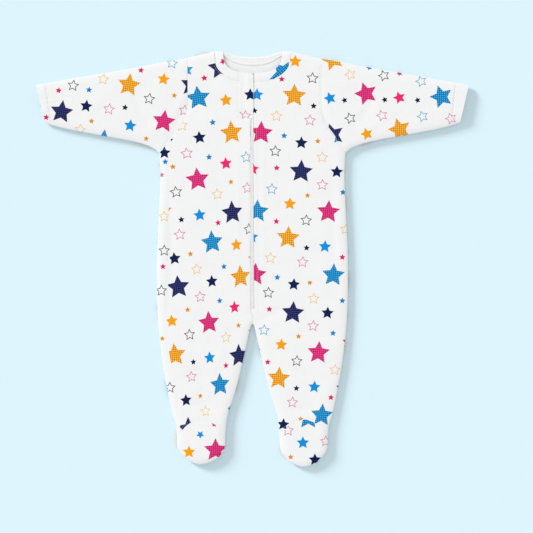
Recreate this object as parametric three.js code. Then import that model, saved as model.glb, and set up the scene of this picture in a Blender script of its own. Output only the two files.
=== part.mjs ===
// Footed baby sleepsuit, laid flat on its back: two layers of soft cotton, a zip from neck to crotch,
// long sleeves and closed feet. Millimetres, +X to the right as seen, +Y towards the neck, +Z up.
import * as THREE from "three";

// Cloth and lie
const wall = 1.6; // cloth thickness
const layerGap = 2.6; // air between the front and the back
const bodyCrown = 2 * wall + layerGap; // top of the front layer over the body
const footCrown = 7.0; // top of the foot, a little fuller
const rollWidth = 12; // the edges round over this far in from the outline
const seamGap = 0.3; // between pieces that are sewn together
const seamHeight = bodyCrown * 0.45; // the edge seam, where front and back meet
const rollSteps = 3; // columns that follow each rounded edge
const middleSteps = 7; // columns between the rounded edges
const foldColumn = rollSteps + 5; // the column that starts at the shoulder fold
const cuffWall = 1.3 * wall; // the cuff is doubled and pressed flat
const clothMaterial = { color: 0xf3f3f3, roughness: 0.9, metalness: 0 };

// Levels, along the garment
const shoulderTop = 270;
const underarm = new THREE.Vector2(121, 137);
const crotchY = -84;
const heelY = -186;
const archEndY = -231.5; // just above both ends of the arched seam
const neckCentreY = 285; // the neck edges ease away from here
const footFillStart = -188; // the front starts to rise to the foot's crown
const footFillEnd = -226;

// Outline of the right half, as short tables; the left half mirrors it.
const neckPoint = { x: 49, y: shoulderTop };
const shoulderEnd = { x: 90, y: 260 };
const sleeveTop = [
  shoulderEnd,
  { x: 128, y: 253.5 },
  { x: 164, y: 246.5 },
  { x: 215, y: 238 },
  { x: 262, y: 230 },
];
const cuffTop = { x: 281, y: 226 };
const cuffBottom = { x: 269.5, y: 177 };
const sleeveBottom = [
  { x: 258, y: 173.2 },
  { x: 237, y: 168 },
  { x: 194, y: 160 },
  { x: 152, y: 152 },
  { x: 130, y: 144.5 },
  underarm,
];
const armholes = {
  right: [
    shoulderEnd,
    { x: 89, y: 228 },
    { x: 90, y: 196 },
    { x: 96, y: 176 },
    { x: 107, y: 160 },
    underarm,
  ],
  left: [ // the left one lies a little nearer to the neck
    { x: 84.5, y: 261.3 },
    { x: 84.3, y: 228 },
    { x: 85, y: 196 },
    { x: 91.5, y: 176 },
    { x: 104.5, y: 160 },
    underarm,
  ],
};
const side = [
  underarm,
  { x: 119.6, y: 110 },
  { x: 121, y: 70 },
  { x: 123.8, y: 10 },
  { x: 124, y: -40 },
  { x: 122.5, y: -84 },
  { x: 117.5, y: -130 },
  { x: 111.5, y: -165 },
  { x: 104.6, y: -199 },
  { x: 99.5, y: -216 },
  { x: 98.2, y: -232 },
];
const toe = [
  { x: 98.2, y: -232 },
  { x: 97.4, y: -246 },
  { x: 92, y: -256 },
  { x: 82, y: -265 },
  { x: 67, y: -270 },
  { x: 51, y: -265 },
  { x: 41, y: -256 },
  { x: 36, y: -246 },
  { x: 35, y: -232 },
];
const inseam = [
  { x: 35, y: -232 },
  { x: 33.8, y: -214 },
  { x: 31, y: -199 },
  { x: 21, y: -168 },
  { x: 13.3, y: -136 },
  { x: 6.5, y: -106 },
  { x: 2.4, y: -88 },
  { x: 0, y: crotchY },
];
const footArch = [
  { x: 35, y: -233 },
  { x: 41, y: -222 },
  { x: 52, y: -213 },
  { x: 66, y: -208.5 },
  { x: 76, y: -210.5 },
  { x: 86, y: -216.5 },
  { x: 93, y: -225 },
  { x: 98.2, y: -233 },
];

// Neckband edges, from the centre to the shoulder fold; the free edge is the opening.
const bandShoulder = { x: 38, y: shoulderTop };
const bandFrontFree = [
  { x: 0, y: 242.5 },
  { x: 17, y: 242.8 },
  { x: 27.6, y: 246 },
  { x: 35, y: 255 },
  bandShoulder,
];
const bandFrontSewn = [
  { x: 0, y: 229.5 },
  { x: 21, y: 231.5 },
  { x: 31, y: 235.5 },
  { x: 41, y: 242.5 },
  { x: 47.5, y: 252 },
  neckPoint,
];
const bandBackFree = [
  { x: 0, y: 261 },
  { x: 16, y: 262.2 },
  { x: 29, y: 265.8 },
  bandShoulder,
];
const bandBackSewn = [
  { x: 0, y: 251.5 },
  { x: 20, y: 252.6 },
  { x: 36, y: 256.5 },
  { x: 46, y: 263 },
  neckPoint,
];

// Zip
const zipEdgeLeft = 4.75; // the left front's edge, left of the centre line
const zipEdgeRight = 1.2;
const zipTopY = 236;
const zipBottomY = -66;
const tapeThick = 1.0;
const tape = { left: -12, right: 8.5 };
const chain = { left: -4.4, right: 0.85, height: 1.7, low: zipBottomY + 2, high: zipTopY - 3 };
const slider = {
  top: 228,
  length: 12,
  width: 8.4,
  crownShare: 0.7, // width of the top end, as a share of the width
  shoulderDrop: 3, // from the top end to the widest place
  mouthShare: 0.8, // width of the lower end
  tabWidth: 5,
  tabLength: 18,
  tabNeck: 2, // the pull widens into the slider over this length
  thick: 1.1,
};
const guard = {
  left: -17,
  right: 0.7,
  top: 242,
  cornerY: 203, // the lower left corner rounds from here
  bottom: 183,
  tipWidth: 4, // left of the rounding, along the bottom
  lift: 1.5, // over the slider
  flatReach: 4.3, // the lift stays whole this far from the chain's centre
  liftReach: 10, // and has gone here
  endFade: 8, // below the pull
  foldAllowance: 0.1, // clears the low ridge beside the zip
  straightRows: 6,
  roundRows: 5,
};

// Soft folds of the front: from one end to the other, how wide, and how high (a trough is negative).
const folds = [
  { x0: 105, y0: 118, x1: 109, y1: -60, width: 7, height: -0.9 },
  { x0: -106, y0: 112, x1: -108, y1: -76, width: 8, height: -1.0 },
  { x0: 14, y0: 226, x1: 14, y1: -52, width: 2.6, height: 0.5 },
  { x0: -19, y0: 180, x1: -18, y1: -40, width: 3.2, height: 0.4 },
  { x0: 112, y0: 152, x1: 70, y1: 212, width: 6, height: -1.0 },
  { x0: -113, y0: 150, x1: -76, y1: 205, width: 6.5, height: -1.1 },
  { x0: 128, y0: 168, x1: 160, y1: 214, width: 7, height: -0.9 },
  { x0: -130, y0: 166, x1: -152, y1: 220, width: 7, height: -0.9 },
  { x0: 98, y0: 238, x1: 134, y1: 226, width: 6, height: 0.6 },
  { x0: -98, y0: 236, x1: -130, y1: 224, width: 6, height: 0.6 },
  { x0: 4, y0: -82, x1: 40, y1: -64, width: 6, height: -0.9 },
  { x0: -5, y0: -83, x1: -38, y1: -60, width: 6, height: -0.9 },
  { x0: 30, y0: -100, x1: 62, y1: -140, width: 8, height: 0.7 },
  { x0: -34, y0: -104, x1: -60, y1: -150, width: 8, height: 0.7 },
  { x0: 50, y0: -192, x1: 84, y1: -196, width: 6, height: -0.8 },
  { x0: -52, y0: -194, x1: -84, y1: -190, width: 6, height: -0.8 },
];

const mix = THREE.MathUtils.lerp;
const curveOf = (points) => new THREE.SplineCurve(points.map((p) => new THREE.Vector2(p.x, p.y)));
const sampled = (points, count = 60) => curveOf(points).getPoints(count);

// Where the front and back meet, walked with the cloth on the right-hand side.
const topLine = [
  new THREE.Vector2(bandShoulder.x, bandShoulder.y),
  new THREE.Vector2(neckPoint.x, neckPoint.y),
  ...sampled([...sleeveTop, cuffTop]),
];
const lowLine = [
  new THREE.Vector2(cuffBottom.x, cuffBottom.y),
  ...sampled(sleeveBottom),
  ...sampled(side, 90),
  ...sampled(toe, 70),
  ...sampled(inseam, 70),
];
const straightDown = new THREE.Vector2(0, -1); // inwards everywhere from the shoulders and sleeve tops
const segmentsOf = (line, inward) => line.slice(1)
  .map((end, k) => ({ start: line[k], end, inward }))
  .filter((s) => s.start.distanceTo(s.end) > 1e-6);
const segments = [...segmentsOf(topLine, straightDown), ...segmentsOf(lowLine)];

// How far a place lies inside the outline, and which way is inwards there.
function insideOutline(x, y) {
  const place = new THREE.Vector2(Math.abs(x), y);
  let nearest = { reach: Infinity };
  for (const { start, end, inward } of segments) {
    const along = end.clone().sub(start);
    const share = THREE.MathUtils.clamp(place.clone().sub(start).dot(along) / along.lengthSq(), 0, 1);
    const foot = start.clone().addScaledVector(along, share);
    const reach = place.distanceTo(foot);
    if (reach < nearest.reach - 1e-7) {
      const normal = new THREE.Vector2(along.y, -along.x).normalize();
      nearest = { reach, foot, normal, inward };
    }
  }
  const away = place.clone().sub(nearest.foot);
  const outside = away.dot(nearest.normal) < 0 && nearest.reach < 1;
  const depth = outside ? 0 : nearest.reach;
  const inward = (nearest.inward ?? (depth > 0.4 ? away.normalize() : nearest.normal)).clone();
  if (Math.abs(x) < 1e-6) inward.set(0, 1);
  if (x < 0) inward.x *= -1;
  return { depth, inward };
}

// Gentle bell across a fold and along it, so that it fades at both ends.
function foldHeight(x, y) {
  let height = 0;
  for (const f of folds) {
    const run = new THREE.Vector2(f.x1 - f.x0, f.y1 - f.y0);
    const from = new THREE.Vector2(x - f.x0, y - f.y0);
    const share = from.dot(run) / run.lengthSq();
    if (share < 0 || share > 1) continue;
    const aside = Math.abs(from.cross(run)) / run.length();
    height += f.height * Math.exp(-((aside / f.width) ** 2)) * Math.sin(Math.PI * share) ** 0.7;
  }
  return height;
}

function crownAt(y) {
  return mix(bodyCrown, footCrown, THREE.MathUtils.smoothstep(-y, -footFillStart, -footFillEnd));
}

// One place on the lying garment: outer and inner point of the cloth of the front or the back layer.
function clothAt(x, y, layer, thick = wall, onFold = false) {
  const { depth, inward } = insideOutline(x, y);
  const lean = Math.max(0, 1 - depth / rollWidth); // 1 on the outline, 0 where the cloth lies flat
  const drop = 1 - Math.sqrt(1 - lean * lean);
  const front = layer === "front";
  const meet = onFold ? seamHeight : seamHeight + (front ? seamGap : -seamGap) / 2;
  const flat = front ? crownAt(y) : 0;
  const lining = front ? flat - thick : thick;
  const fold = front ? foldHeight(x, y) * (1 - drop) ** 2 * (1 - lean) : 0;
  return {
    outer: new THREE.Vector3(x, y, mix(flat, meet, drop) + fold),
    inner: new THREE.Vector3(x + inward.x * thick * lean, y + inward.y * thick * lean,
      mix(lining, meet, drop) + fold),
  };
}

// Triangles of a wall between two grids of points; each edge can be left open for a neighbour to close.
function wallTriangles(grid, { closedAround = false, openFirst = () => false } = {}) {
  const triangles = [];
  const quad = (a, b, c, d) => triangles.push([a, b, c], [a, c, d]);
  const rows = grid.length - 1;
  const columns = grid[0].length - (closedAround ? 0 : 1);
  const at = (j, i) => grid[j][i % grid[0].length];
  for (let j = 0; j < rows; j++) {
    for (let i = 0; i < columns; i++) {
      quad(at(j, i).outer, at(j + 1, i).outer, at(j + 1, i + 1).outer, at(j, i + 1).outer);
      quad(at(j, i).inner, at(j, i + 1).inner, at(j + 1, i + 1).inner, at(j + 1, i).inner);
    }
    if (closedAround) continue;
    if (!openFirst(j)) quad(at(j, 0).outer, at(j, 0).inner, at(j + 1, 0).inner, at(j + 1, 0).outer);
    quad(at(j, columns).outer, at(j + 1, columns).outer, at(j + 1, columns).inner, at(j, columns).inner);
  }
  for (let i = 0; i < columns; i++) {
    quad(at(0, i).outer, at(0, i + 1).outer, at(0, i + 1).inner, at(0, i).inner);
    quad(at(rows, i).outer, at(rows, i).inner, at(rows, i + 1).inner, at(rows, i + 1).outer);
  }
  return triangles;
}

const mirrored = (triangles) =>
  triangles.map((t) => t.map((p) => new THREE.Vector3(-p.x, p.y, p.z)).reverse());

// A named mesh from triangles that close a body, turned so that its faces point outwards.
function meshOf(name, triangles, material = clothMaterial) {
  let volume = 0;
  for (const [a, b, c] of triangles) volume += a.dot(b.clone().cross(c)) / 6;
  const turned = volume < 0 ? triangles.map((t) => t.slice().reverse()) : triangles;
  const geometry = new THREE.BufferGeometry().setFromPoints(turned.flat());
  geometry.computeVertexNormals();
  const mesh = new THREE.Mesh(geometry, new THREE.MeshStandardMaterial(material));
  mesh.name = name;
  return mesh;
}

// Distances from an edge that resolve the rounded stretch next to it.
const rollDistances = Array.from({ length: rollSteps + 1 }, (_, k) =>
  rollWidth * (1 - Math.cos((Math.PI / 2) * (k / rollSteps))));

// Shares across a row: fine near both edges, even between them.
function sharesAcross(width) {
  const near = rollDistances.map((d) => d / width);
  const between = Array.from({ length: middleSteps - 1 }, (_, k) =>
    mix(near[rollSteps], 1 - near[rollSteps], (k + 1) / middleSteps));
  return [...near, ...between, ...near.map((d) => 1 - d).reverse()];
}

// Places of a patch between four curves; top and bottom are lists, one point for each share across.
function patchRows(top, bottom, first, last, shares, steps) {
  const end = top.length - 1;
  return steps.map((t) => top.map((p, i) => {
    const s = shares[i];
    const a = first(t);
    const b = last(t);
    const bend = (axis) =>
      (1 - s) * (a[axis] - mix(top[0][axis], bottom[0][axis], t)) +
      s * (b[axis] - mix(top[end][axis], bottom[end][axis], t));
    return { x: mix(p.x, bottom[i].x, t) + bend("x"), y: mix(p.y, bottom[i].y, t) + bend("y") };
  }));
}

// Where a line of the outline crosses a level.
function crossingAt(line, y) {
  const k = line.findIndex((p, i) => i > 0 && (p.y - y) * (line[i - 1].y - y) <= 0);
  const [a, b] = [line[k - 1], line[k]];
  return mix(a.x, b.x, a.y === b.y ? 0 : (y - a.y) / (b.y - a.y));
}
const sideLine = sampled(side, 90);
const inseamLine = sampled(inseam, 70);

// Level rows between the centre (or the inseam) and the side.
function levelRows(levels, centreAt) {
  return levels.map((y) => {
    const left = y > crotchY ? centreAt(y) : Math.max(crossingAt(inseamLine, y), centreAt(y));
    const right = crossingAt(sideLine, y);
    return sharesAcross(right - left).map((s) => ({ x: mix(left, right, s), y }));
  });
}

// Shares of a seam, the same on both of its pieces, so that their edges run side by side.
const neckShares = [0, 0.16, 0.32, 0.48, 0.63, 0.77, 0.87, 0.95, 1];
const armholeFall = shoulderTop - underarm.y;
const armholeShares = [
  ...rollDistances.map((d) => d / armholeFall), 0.2, 0.34, 0.48, 0.62, 0.76, 0.88, 0.95, 1,
];
const archShares = sharesAcross(66);

// A place on a sewn neck edge, moved one seam gap away from the neck.
function besideNeck(p) {
  const away = new THREE.Vector2(p.x, p.y - neckCentreY).normalize().multiplyScalar(seamGap);
  return new THREE.Vector2(p.x + away.x, p.y + away.y);
}

// Rows of one body half from the neck and shoulder down to the underarm.
function yokeRows(sewnEdge, centreX, armhole) {
  const shares = sharesAcross(underarm.x - centreX);
  const neck = curveOf(sewnEdge);
  const shoulder = curveOf([{ x: neckPoint.x + seamGap, y: shoulderTop }, armhole[0]]);
  const top = shares.map((s, i) => i <= foldColumn
    ? besideNeck(neck.getPointAt(neckShares[i]))
    : shoulder.getPointAt((s - shares[foldColumn]) / (1 - shares[foldColumn])));
  top[0].x = centreX;
  const hole = curveOf(armhole);
  const edge = (t) => {
    const p = hole.getPointAt(t);
    return { x: p.x - seamGap / 2, y: p.y };
  };
  const bottom = shares.map((s) => ({ x: mix(centreX, underarm.x - seamGap / 2, s), y: underarm.y }));
  const centre = (t) => ({ x: centreX, y: mix(top[0].y, underarm.y, t) });
  return patchRows(top, bottom, centre, edge, shares, armholeShares);
}

const torsoLevels = [134, 129, 122, 104, 80, 56, 32, 8, -16, -40, -58, -66, -74, -80, crotchY];
const legLevels = [-87, -92, -100, -114, -130, -146, -160, -174, heelY];
const instepSteps = [0.35, 0.7, 1]; // from the heel level to the arch
const sleeveSteps = [0, 0.06, 0.13, 0.22, 0.34, 0.48, 0.62, 0.76, 0.89, 1]; // armhole to cuff
const cuffSteps = [0, 0.5, 1];
const footSteps = [0, 0.16, 0.33, 0.5, 0.66, 0.8, 0.9, 0.97, 1]; // arch to toe
const toeCornerShare = 0.19; // the part of the toe curve that each side edge takes

// Left and right fronts: torso half and leg in one, from the neck to the arch over the foot.
function frontHalf(name, zipEdge, handed, armhole) {
  const centreAt = (y) => mix(zipEdge, seamGap / 2, THREE.MathUtils.smoothstep(-y, -zipBottomY, 76));
  const upper = yokeRows(bandFrontSewn, zipEdge, armhole);
  const lower = levelRows([...torsoLevels, ...legLevels], centreAt);
  const arch = curveOf(footArch);
  const last = lower[lower.length - 1];
  const shares = sharesAcross(last[last.length - 1].x - last[0].x);
  const bottom = archShares.map((s) => arch.getPointAt(s));
  const edgeOf = (line) => (t) => {
    const y = mix(heelY, archEndY, t);
    return { x: crossingAt(line, y), y };
  };
  const instep = patchRows(last, bottom, edgeOf(inseamLine), edgeOf(sideLine), shares, instepSteps);
  const rows = [...upper, ...lower, ...instep];
  const grid = rows.map((row) => row.map((p) => clothAt(p.x * handed, p.y, "front")));
  return meshOf(name, wallTriangles(grid));
}

// The back: both halves share the centre line down to the crotch, then part into the legs.
function backPiece() {
  const lower = levelRows([...torsoLevels, ...legLevels], () => 0);
  const half = (armhole) => {
    const upper = yokeRows(bandBackSewn, 0, armhole);
    const legStart = upper.length + torsoLevels.length - 1;
    const grid = [...upper, ...lower].map((row) => row.map((p) => clothAt(p.x, p.y, "back")));
    return wallTriangles(grid, { openFirst: (j) => j < legStart });
  };
  return meshOf("back", [...half(armholes.right), ...mirrored(half(armholes.left))]);
}

// A flattened tube between two curves across it: the front sheet out, the back sheet in return.
function flatTube(name, top, bottom, near, far, steps, thick, handed) {
  const topCurve = curveOf(top);
  const bottomCurve = curveOf(bottom);
  const rows = patchRows(near, far, (t) => topCurve.getPointAt(t), (t) => bottomCurve.getPointAt(t),
    armholeShares, steps);
  const end = armholeShares.length - 1;
  const grid = rows.map((row) => [
    ...row.map((p, i) => clothAt(p.x * handed, p.y, "front", thick, i === 0 || i === end)),
    ...row.slice(1, end).reverse().map((p) => clothAt(p.x * handed, p.y, "back", thick)),
  ]);
  return meshOf(name, wallTriangles(grid, { closedAround: true }));
}

const straight = (from, to) =>
  armholeShares.map((s) => ({ x: mix(from.x, to.x, s), y: mix(from.y, to.y, s) }));

function sleeve(name, handed, armhole) {
  const hole = curveOf(armhole);
  const near = armholeShares.map((s) => {
    const p = hole.getPointAt(s);
    return { x: p.x + seamGap / 2, y: p.y };
  });
  const top = [near[0], ...sleeveTop.slice(1)];
  const bottom = [near[near.length - 1], ...sleeveBottom.slice(0, -1).reverse()];
  const far = straight(top[top.length - 1], bottom[bottom.length - 1]);
  return flatTube(name, top, bottom, near, far, sleeveSteps, wall, handed);
}

function cuff(name, handed) {
  const seamTop = { x: sleeveTop[sleeveTop.length - 1].x + seamGap, y: sleeveTop[sleeveTop.length - 1].y };
  const seamBottom = { x: sleeveBottom[0].x + seamGap, y: sleeveBottom[0].y };
  return flatTube(name, [seamTop, cuffTop], [seamBottom, cuffBottom], straight(seamTop, seamBottom),
    straight(cuffTop, cuffBottom), cuffSteps, cuffWall, handed);
}

// The neckband: one strip from the right end at the zip, over both shoulder folds, to the left end.
function neckband() {
  const across = [0, 1 / 3, 2 / 3, 1];
  const frontFree = curveOf(bandFrontFree);
  const frontSewn = curveOf(bandFrontSewn);
  const backFree = curveOf(bandBackFree);
  const backSewn = curveOf(bandBackSewn);
  const station = (free, sewn, share, layer, handed, endX = 0) => across.map((u) => {
    const p = free.getPointAt(share).lerp(sewn.getPointAt(share), u);
    return clothAt(handed * Math.max(p.x, endX), p.y, layer, wall, share === 1);
  });
  const frontOf = (handed, endX) => neckShares.slice(0, -1).map((share) =>
    station(frontFree, frontSewn, share, "front", handed, share === 0 ? endX : 0));
  const backOf = (handed) => neckShares.toReversed().map((share) =>
    station(backFree, backSewn, share, "back", handed));
  const grid = [
    ...frontOf(1, zipEdgeRight),
    ...backOf(1),
    ...backOf(-1).reverse().slice(1),
    ...frontOf(-1, zipEdgeLeft).reverse(),
  ];
  return meshOf("neckband", wallTriangles(grid));
}

// Foot top below the arched seam, and the sole under it; both run round the toe.
function footPiece(name, layer, top, handed) {
  const whole = curveOf(toe);
  const bottom = archShares.map((s) => whole.getPointAt(mix(1 - toeCornerShare, toeCornerShare, s)));
  const start = top[0];
  const end = top[top.length - 1];
  const inner = (t) => edgeBetween(inseamLine, whole, start.y, 1, 1 - toeCornerShare, t);
  const outer = (t) => edgeBetween(sideLine, whole, end.y, 0, toeCornerShare, t);
  const rows = patchRows(top, bottom, inner, outer, archShares, footSteps);
  const grid = rows.map((row) => row.map((p) => clothAt(p.x * handed, p.y, layer)));
  return meshOf(name, wallTriangles(grid));
}

// A walk down the leg's edge to its end and on along the toe curve, by share of the whole way.
function edgeBetween(legLine, toeCurve, startY, fromShare, toShare, t) {
  const legEndY = toe[0].y;
  const legRun = Math.max(0, startY - legEndY);
  const toeRun = Math.abs(toShare - fromShare) * toeCurve.getLength();
  const walked = t * (legRun + toeRun);
  if (walked < legRun) {
    const y = startY - walked;
    return { x: crossingAt(legLine, y), y };
  }
  return toeCurve.getPointAt(mix(fromShare, toShare, (walked - legRun) / toeRun));
}

function footTop(name, handed) {
  const arch = curveOf(footArch);
  const top = archShares.map((s) => {
    const p = arch.getPointAt(s);
    return { x: p.x, y: p.y - seamGap };
  });
  return footPiece(name, "front", top, handed);
}

function sole(name, handed) {
  const y = heelY - seamGap;
  const top = archShares.map((s) => ({ x: mix(crossingAt(inseamLine, y), crossingAt(sideLine, y), s), y }));
  return footPiece(name, "back", top, handed);
}

// A flat bar under or between the zip edges.
function bar(name, left, right, bottomZ, topZ, lowY, highY, material) {
  const geometry = new THREE.BoxGeometry(right - left, highY - lowY, topZ - bottomZ);
  const mesh = new THREE.Mesh(geometry, new THREE.MeshStandardMaterial(material));
  mesh.position.set((left + right) / 2, (lowY + highY) / 2, (bottomZ + topZ) / 2);
  mesh.name = name;
  return mesh;
}

function zip() {
  const tapeTop = bodyCrown - wall - seamGap;
  const chainBottom = tapeTop + seamGap;
  const tapeMesh = bar("zip_tape", tape.left, tape.right, tapeTop - tapeThick, tapeTop, zipBottomY, zipTopY,
    { color: 0xf7f7f5, roughness: 0.85, metalness: 0 });
  const chainMesh = bar("zip_chain", chain.left, chain.right, chainBottom, chainBottom + chain.height,
    chain.low, chain.high, { color: 0xfafafa, roughness: 0.45, metalness: 0 });
  return [tapeMesh, chainMesh, sliderMesh(chainBottom + chain.height + seamGap)];
}

// The slider at the top of the zip, with its short pull lying down the chain, under the guard.
function sliderMesh(bottomZ) {
  const half = slider.width / 2;
  const tabHalf = slider.tabWidth / 2;
  const low = slider.top - slider.length;
  const outline = new THREE.Shape();
  const right = [
    [tabHalf, low - slider.tabLength],
    [tabHalf, low - slider.tabNeck],
    [half * slider.mouthShare, low],
    [half, slider.top - slider.shoulderDrop],
    [half * slider.crownShare, slider.top],
  ];
  const left = right.map(([x, y]) => [-x, y]).reverse();
  outline.setFromPoints([...right, ...left].map(([x, y]) => new THREE.Vector2(x, y)));
  const geometry = new THREE.ExtrudeGeometry(outline, { depth: slider.thick, bevelEnabled: false });
  const mesh = new THREE.Mesh(geometry,
    new THREE.MeshStandardMaterial({ color: 0xf5f5f5, roughness: 0.4, metalness: 0 }));
  mesh.position.set((chain.left + chain.right) / 2, 0, bottomZ);
  mesh.name = "zip_slider";
  return mesh;
}

// The guard tab: it lies on the left front and the neckband, and rises a little over the slider.
function zipGuard() {
  const centreX = (chain.left + chain.right) / 2;
  const levels = [
    ...Array.from({ length: guard.straightRows }, (_, k) =>
      mix(guard.top, guard.cornerY, k / guard.straightRows)),
    ...Array.from({ length: guard.roundRows + 1 }, (_, k) =>
      mix(guard.cornerY, guard.bottom, Math.sin((Math.PI / 2) * (k / guard.roundRows)))),
  ];
  const leftAt = (y) => {
    if (y >= guard.cornerY) return guard.left;
    const share = (guard.cornerY - y) / (guard.cornerY - guard.bottom);
    return mix(guard.right - guard.tipWidth, guard.left, Math.sqrt(Math.max(0, 1 - share * share)));
  };
  const pullEnd = slider.top - slider.length - slider.tabLength;
  const rise = (x, y) => {
    const aside = THREE.MathUtils.smoothstep(Math.abs(x - centreX), guard.flatReach, guard.liftReach);
    const below = THREE.MathUtils.smoothstep(pullEnd - y, 0, guard.endFade);
    return guard.lift * (1 - aside) * (1 - below);
  };
  const base = bodyCrown + seamGap + guard.foldAllowance;
  const grid = levels.map((y) => {
    const left = leftAt(y);
    return [0, 1, 2, 3, 4, 5, 6].map((k) => {
      const x = mix(left, guard.right, k / 6);
      const z = base + rise(x, y);
      return { outer: new THREE.Vector3(x, y, z + wall), inner: new THREE.Vector3(x, y, z) };
    });
  });
  return meshOf("zip_guard", wallTriangles(grid));
}

const sleepsuit = new THREE.Group();
sleepsuit.name = "sleepsuit";
sleepsuit.add(
  backPiece(),
  frontHalf("front_left", zipEdgeLeft, -1, armholes.left),
  frontHalf("front_right", zipEdgeRight, 1, armholes.right),
  sleeve("sleeve_left", -1, armholes.left),
  sleeve("sleeve_right", 1, armholes.right),
  cuff("cuff_left", -1),
  cuff("cuff_right", 1),
  neckband(),
  ...zip(),
  zipGuard(),
  footTop("foot_top_left", -1),
  footTop("foot_top_right", 1),
  sole("sole_left", -1),
  sole("sole_right", 1),
);

export default sleepsuit;
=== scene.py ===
import math
from functools import partial

import bmesh
import bpy
import numpy as np
from mathutils import Matrix, Vector, noise


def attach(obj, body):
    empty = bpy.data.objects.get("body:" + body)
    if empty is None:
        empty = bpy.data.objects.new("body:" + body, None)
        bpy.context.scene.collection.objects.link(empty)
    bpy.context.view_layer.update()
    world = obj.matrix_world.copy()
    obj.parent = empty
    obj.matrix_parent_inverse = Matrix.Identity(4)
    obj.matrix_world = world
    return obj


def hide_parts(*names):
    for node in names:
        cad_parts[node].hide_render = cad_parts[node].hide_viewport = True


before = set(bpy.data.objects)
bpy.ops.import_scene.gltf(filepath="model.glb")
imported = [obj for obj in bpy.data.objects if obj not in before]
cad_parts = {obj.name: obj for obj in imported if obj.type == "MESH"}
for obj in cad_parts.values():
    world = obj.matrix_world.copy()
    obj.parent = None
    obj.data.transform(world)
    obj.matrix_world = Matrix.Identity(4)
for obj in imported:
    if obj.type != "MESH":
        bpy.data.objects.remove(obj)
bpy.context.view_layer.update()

mm = 0.001

# Cut and lie of the garment, in millimetres. The right half is listed; the left mirrors it.
lie = {
    "cloth": 1.05,  # thickness of one layer of cotton
    "bodyCrown": 5.8,  # top of the front over the body
    "footCrown": 7.0,
    "footRise": (-188, -226),  # the front climbs to the foot's crown between these levels
    "rollWidth": 12,  # edges round over this far in from the outline
    "seamHeight": 2.61,
    "seamGap": 0.08,
}
shoulderTop = 270
neckCentreY = 285
neckHalf = 49  # from the centre to the neckband's seam at the shoulder
underarm = (121, 137)
crotchY = -84
heelY = -186
shoulderEnd = (90, 260)
sleeveTop = [shoulderEnd, (128, 253.5), (164, 246.5), (215, 238), (262, 230)]
cuffTop = (281, 226)
cuffBottom = (269.5, 177)
sleeveBottom = [(258, 173.2), (237, 168), (194, 160), (152, 152), (130, 144.5), underarm]
armholes = {  # the left one lies a little nearer to the neck
    1: [shoulderEnd, (89, 228), (90, 196), (96, 176), (107, 160), underarm],
    -1: [(84.5, 261.3), (84.3, 228), (85, 196), (91.5, 176), (104.5, 160), underarm],
}
cuffSeams = {1: ((264, 229.5), (259, 173.5)), -1: ((269, 228.6), (260.5, 173.8))}
side = [underarm, (119.6, 110), (121, 70), (123.8, 10), (124, -40), (122.5, -84), (117.5, -130),
        (111.5, -165), (104.6, -199), (99.5, -216), (98.2, -232)]
toe = [(98.2, -232), (97.4, -246), (92, -256), (82, -265), (67, -270), (51, -265), (41, -256),
       (36, -246), (35, -232)]
inseam = [(35, -232), (33.8, -214), (31, -199), (21, -168), (13.3, -136), (6.5, -106), (2.4, -88),
          (0, crotchY)]
footArch = [(35, -232), (41, -222), (52, -213), (66, -208.5), (76, -210.5), (86, -216.5), (93, -225),
            (98.2, -232)]
bandFrontFree = [(0, 242.2), (14, 242.6), (25, 244.8), (33, 250), (37, 257.5), (38.5, shoulderTop)]
bandFrontSewn = [(0, 229.5), (21, 231.5), (31, 235.5), (41, 242.5), (47.5, 252), (neckHalf, shoulderTop)]
bandBackFree = [(0, 261.5), (16, 262.6), (29, 265.8), (38.5, shoulderTop)]
bandBackSewn = [(0, 251.5), (14, 252.6), (26, 256.6), (36, 263), (43, 267), (neckHalf, shoulderTop)]
zipTop = 236
zipBottom = -66
panelsMeetY = -76
zipEdges = {-1: (-3.6, -2.6), 1: (0.7, 2.1)}  # the panels' edges, at the neck and at the lower end

# Soft folds: from one end to the other, how wide, how high (a trough is negative), sideways bow.
frontFolds = [
    (105, 118, 109, -60, 7, -0.9, 2),
    (-106, 112, -108, -76, 8, -1.0, -2),
    (14, 226, 14, -52, 2.6, 0.45, 0),
    (-19, 180, -18, -40, 3.2, 0.35, 0),
    (112, 152, 70, 212, 6, -1.1, 4),
    (104, 176, 84, 226, 4, 0.5, 2),
    (-113, 150, -76, 205, 6.5, -1.2, -4),
    (-104, 172, -84, 222, 4, 0.5, -2),
    (128, 168, 160, 214, 7, -1.0, 3),
    (140, 160, 196, 196, 5, 0.5, -3),
    (-130, 166, -152, 220, 7, -1.0, -3),
    (-144, 160, -198, 190, 5, 0.5, 3),
    (98, 238, 134, 226, 6, 0.6, 2),
    (-98, 236, -130, 224, 6, 0.6, -2),
    (190, 228, 226, 186, 7, 0.45, 3),
    (-188, 226, -222, 184, 7, 0.45, -3),
    (4, -82, 40, -64, 6, -1.0, 2),
    (-5, -83, -38, -60, 6, -1.0, -2),
    (30, -100, 62, -140, 8, 0.7, 3),
    (-34, -104, -60, -150, 8, 0.7, -3),
    (50, -192, 84, -196, 6, -0.9, 2),
    (-52, -194, -84, -190, 6, -0.9, 2),
    (40, 40, 86, 22, 12, 0.5, 5),
    (-44, 66, -88, 44, 12, 0.5, 5),
    (36, -20, 90, -34, 11, -0.45, 4),
    (-36, -10, -92, -28, 11, -0.45, 4),
    (60, 150, 66, 84, 10, 0.4, 3),
    (-58, 146, -66, 74, 10, 0.4, -3),
]
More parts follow.
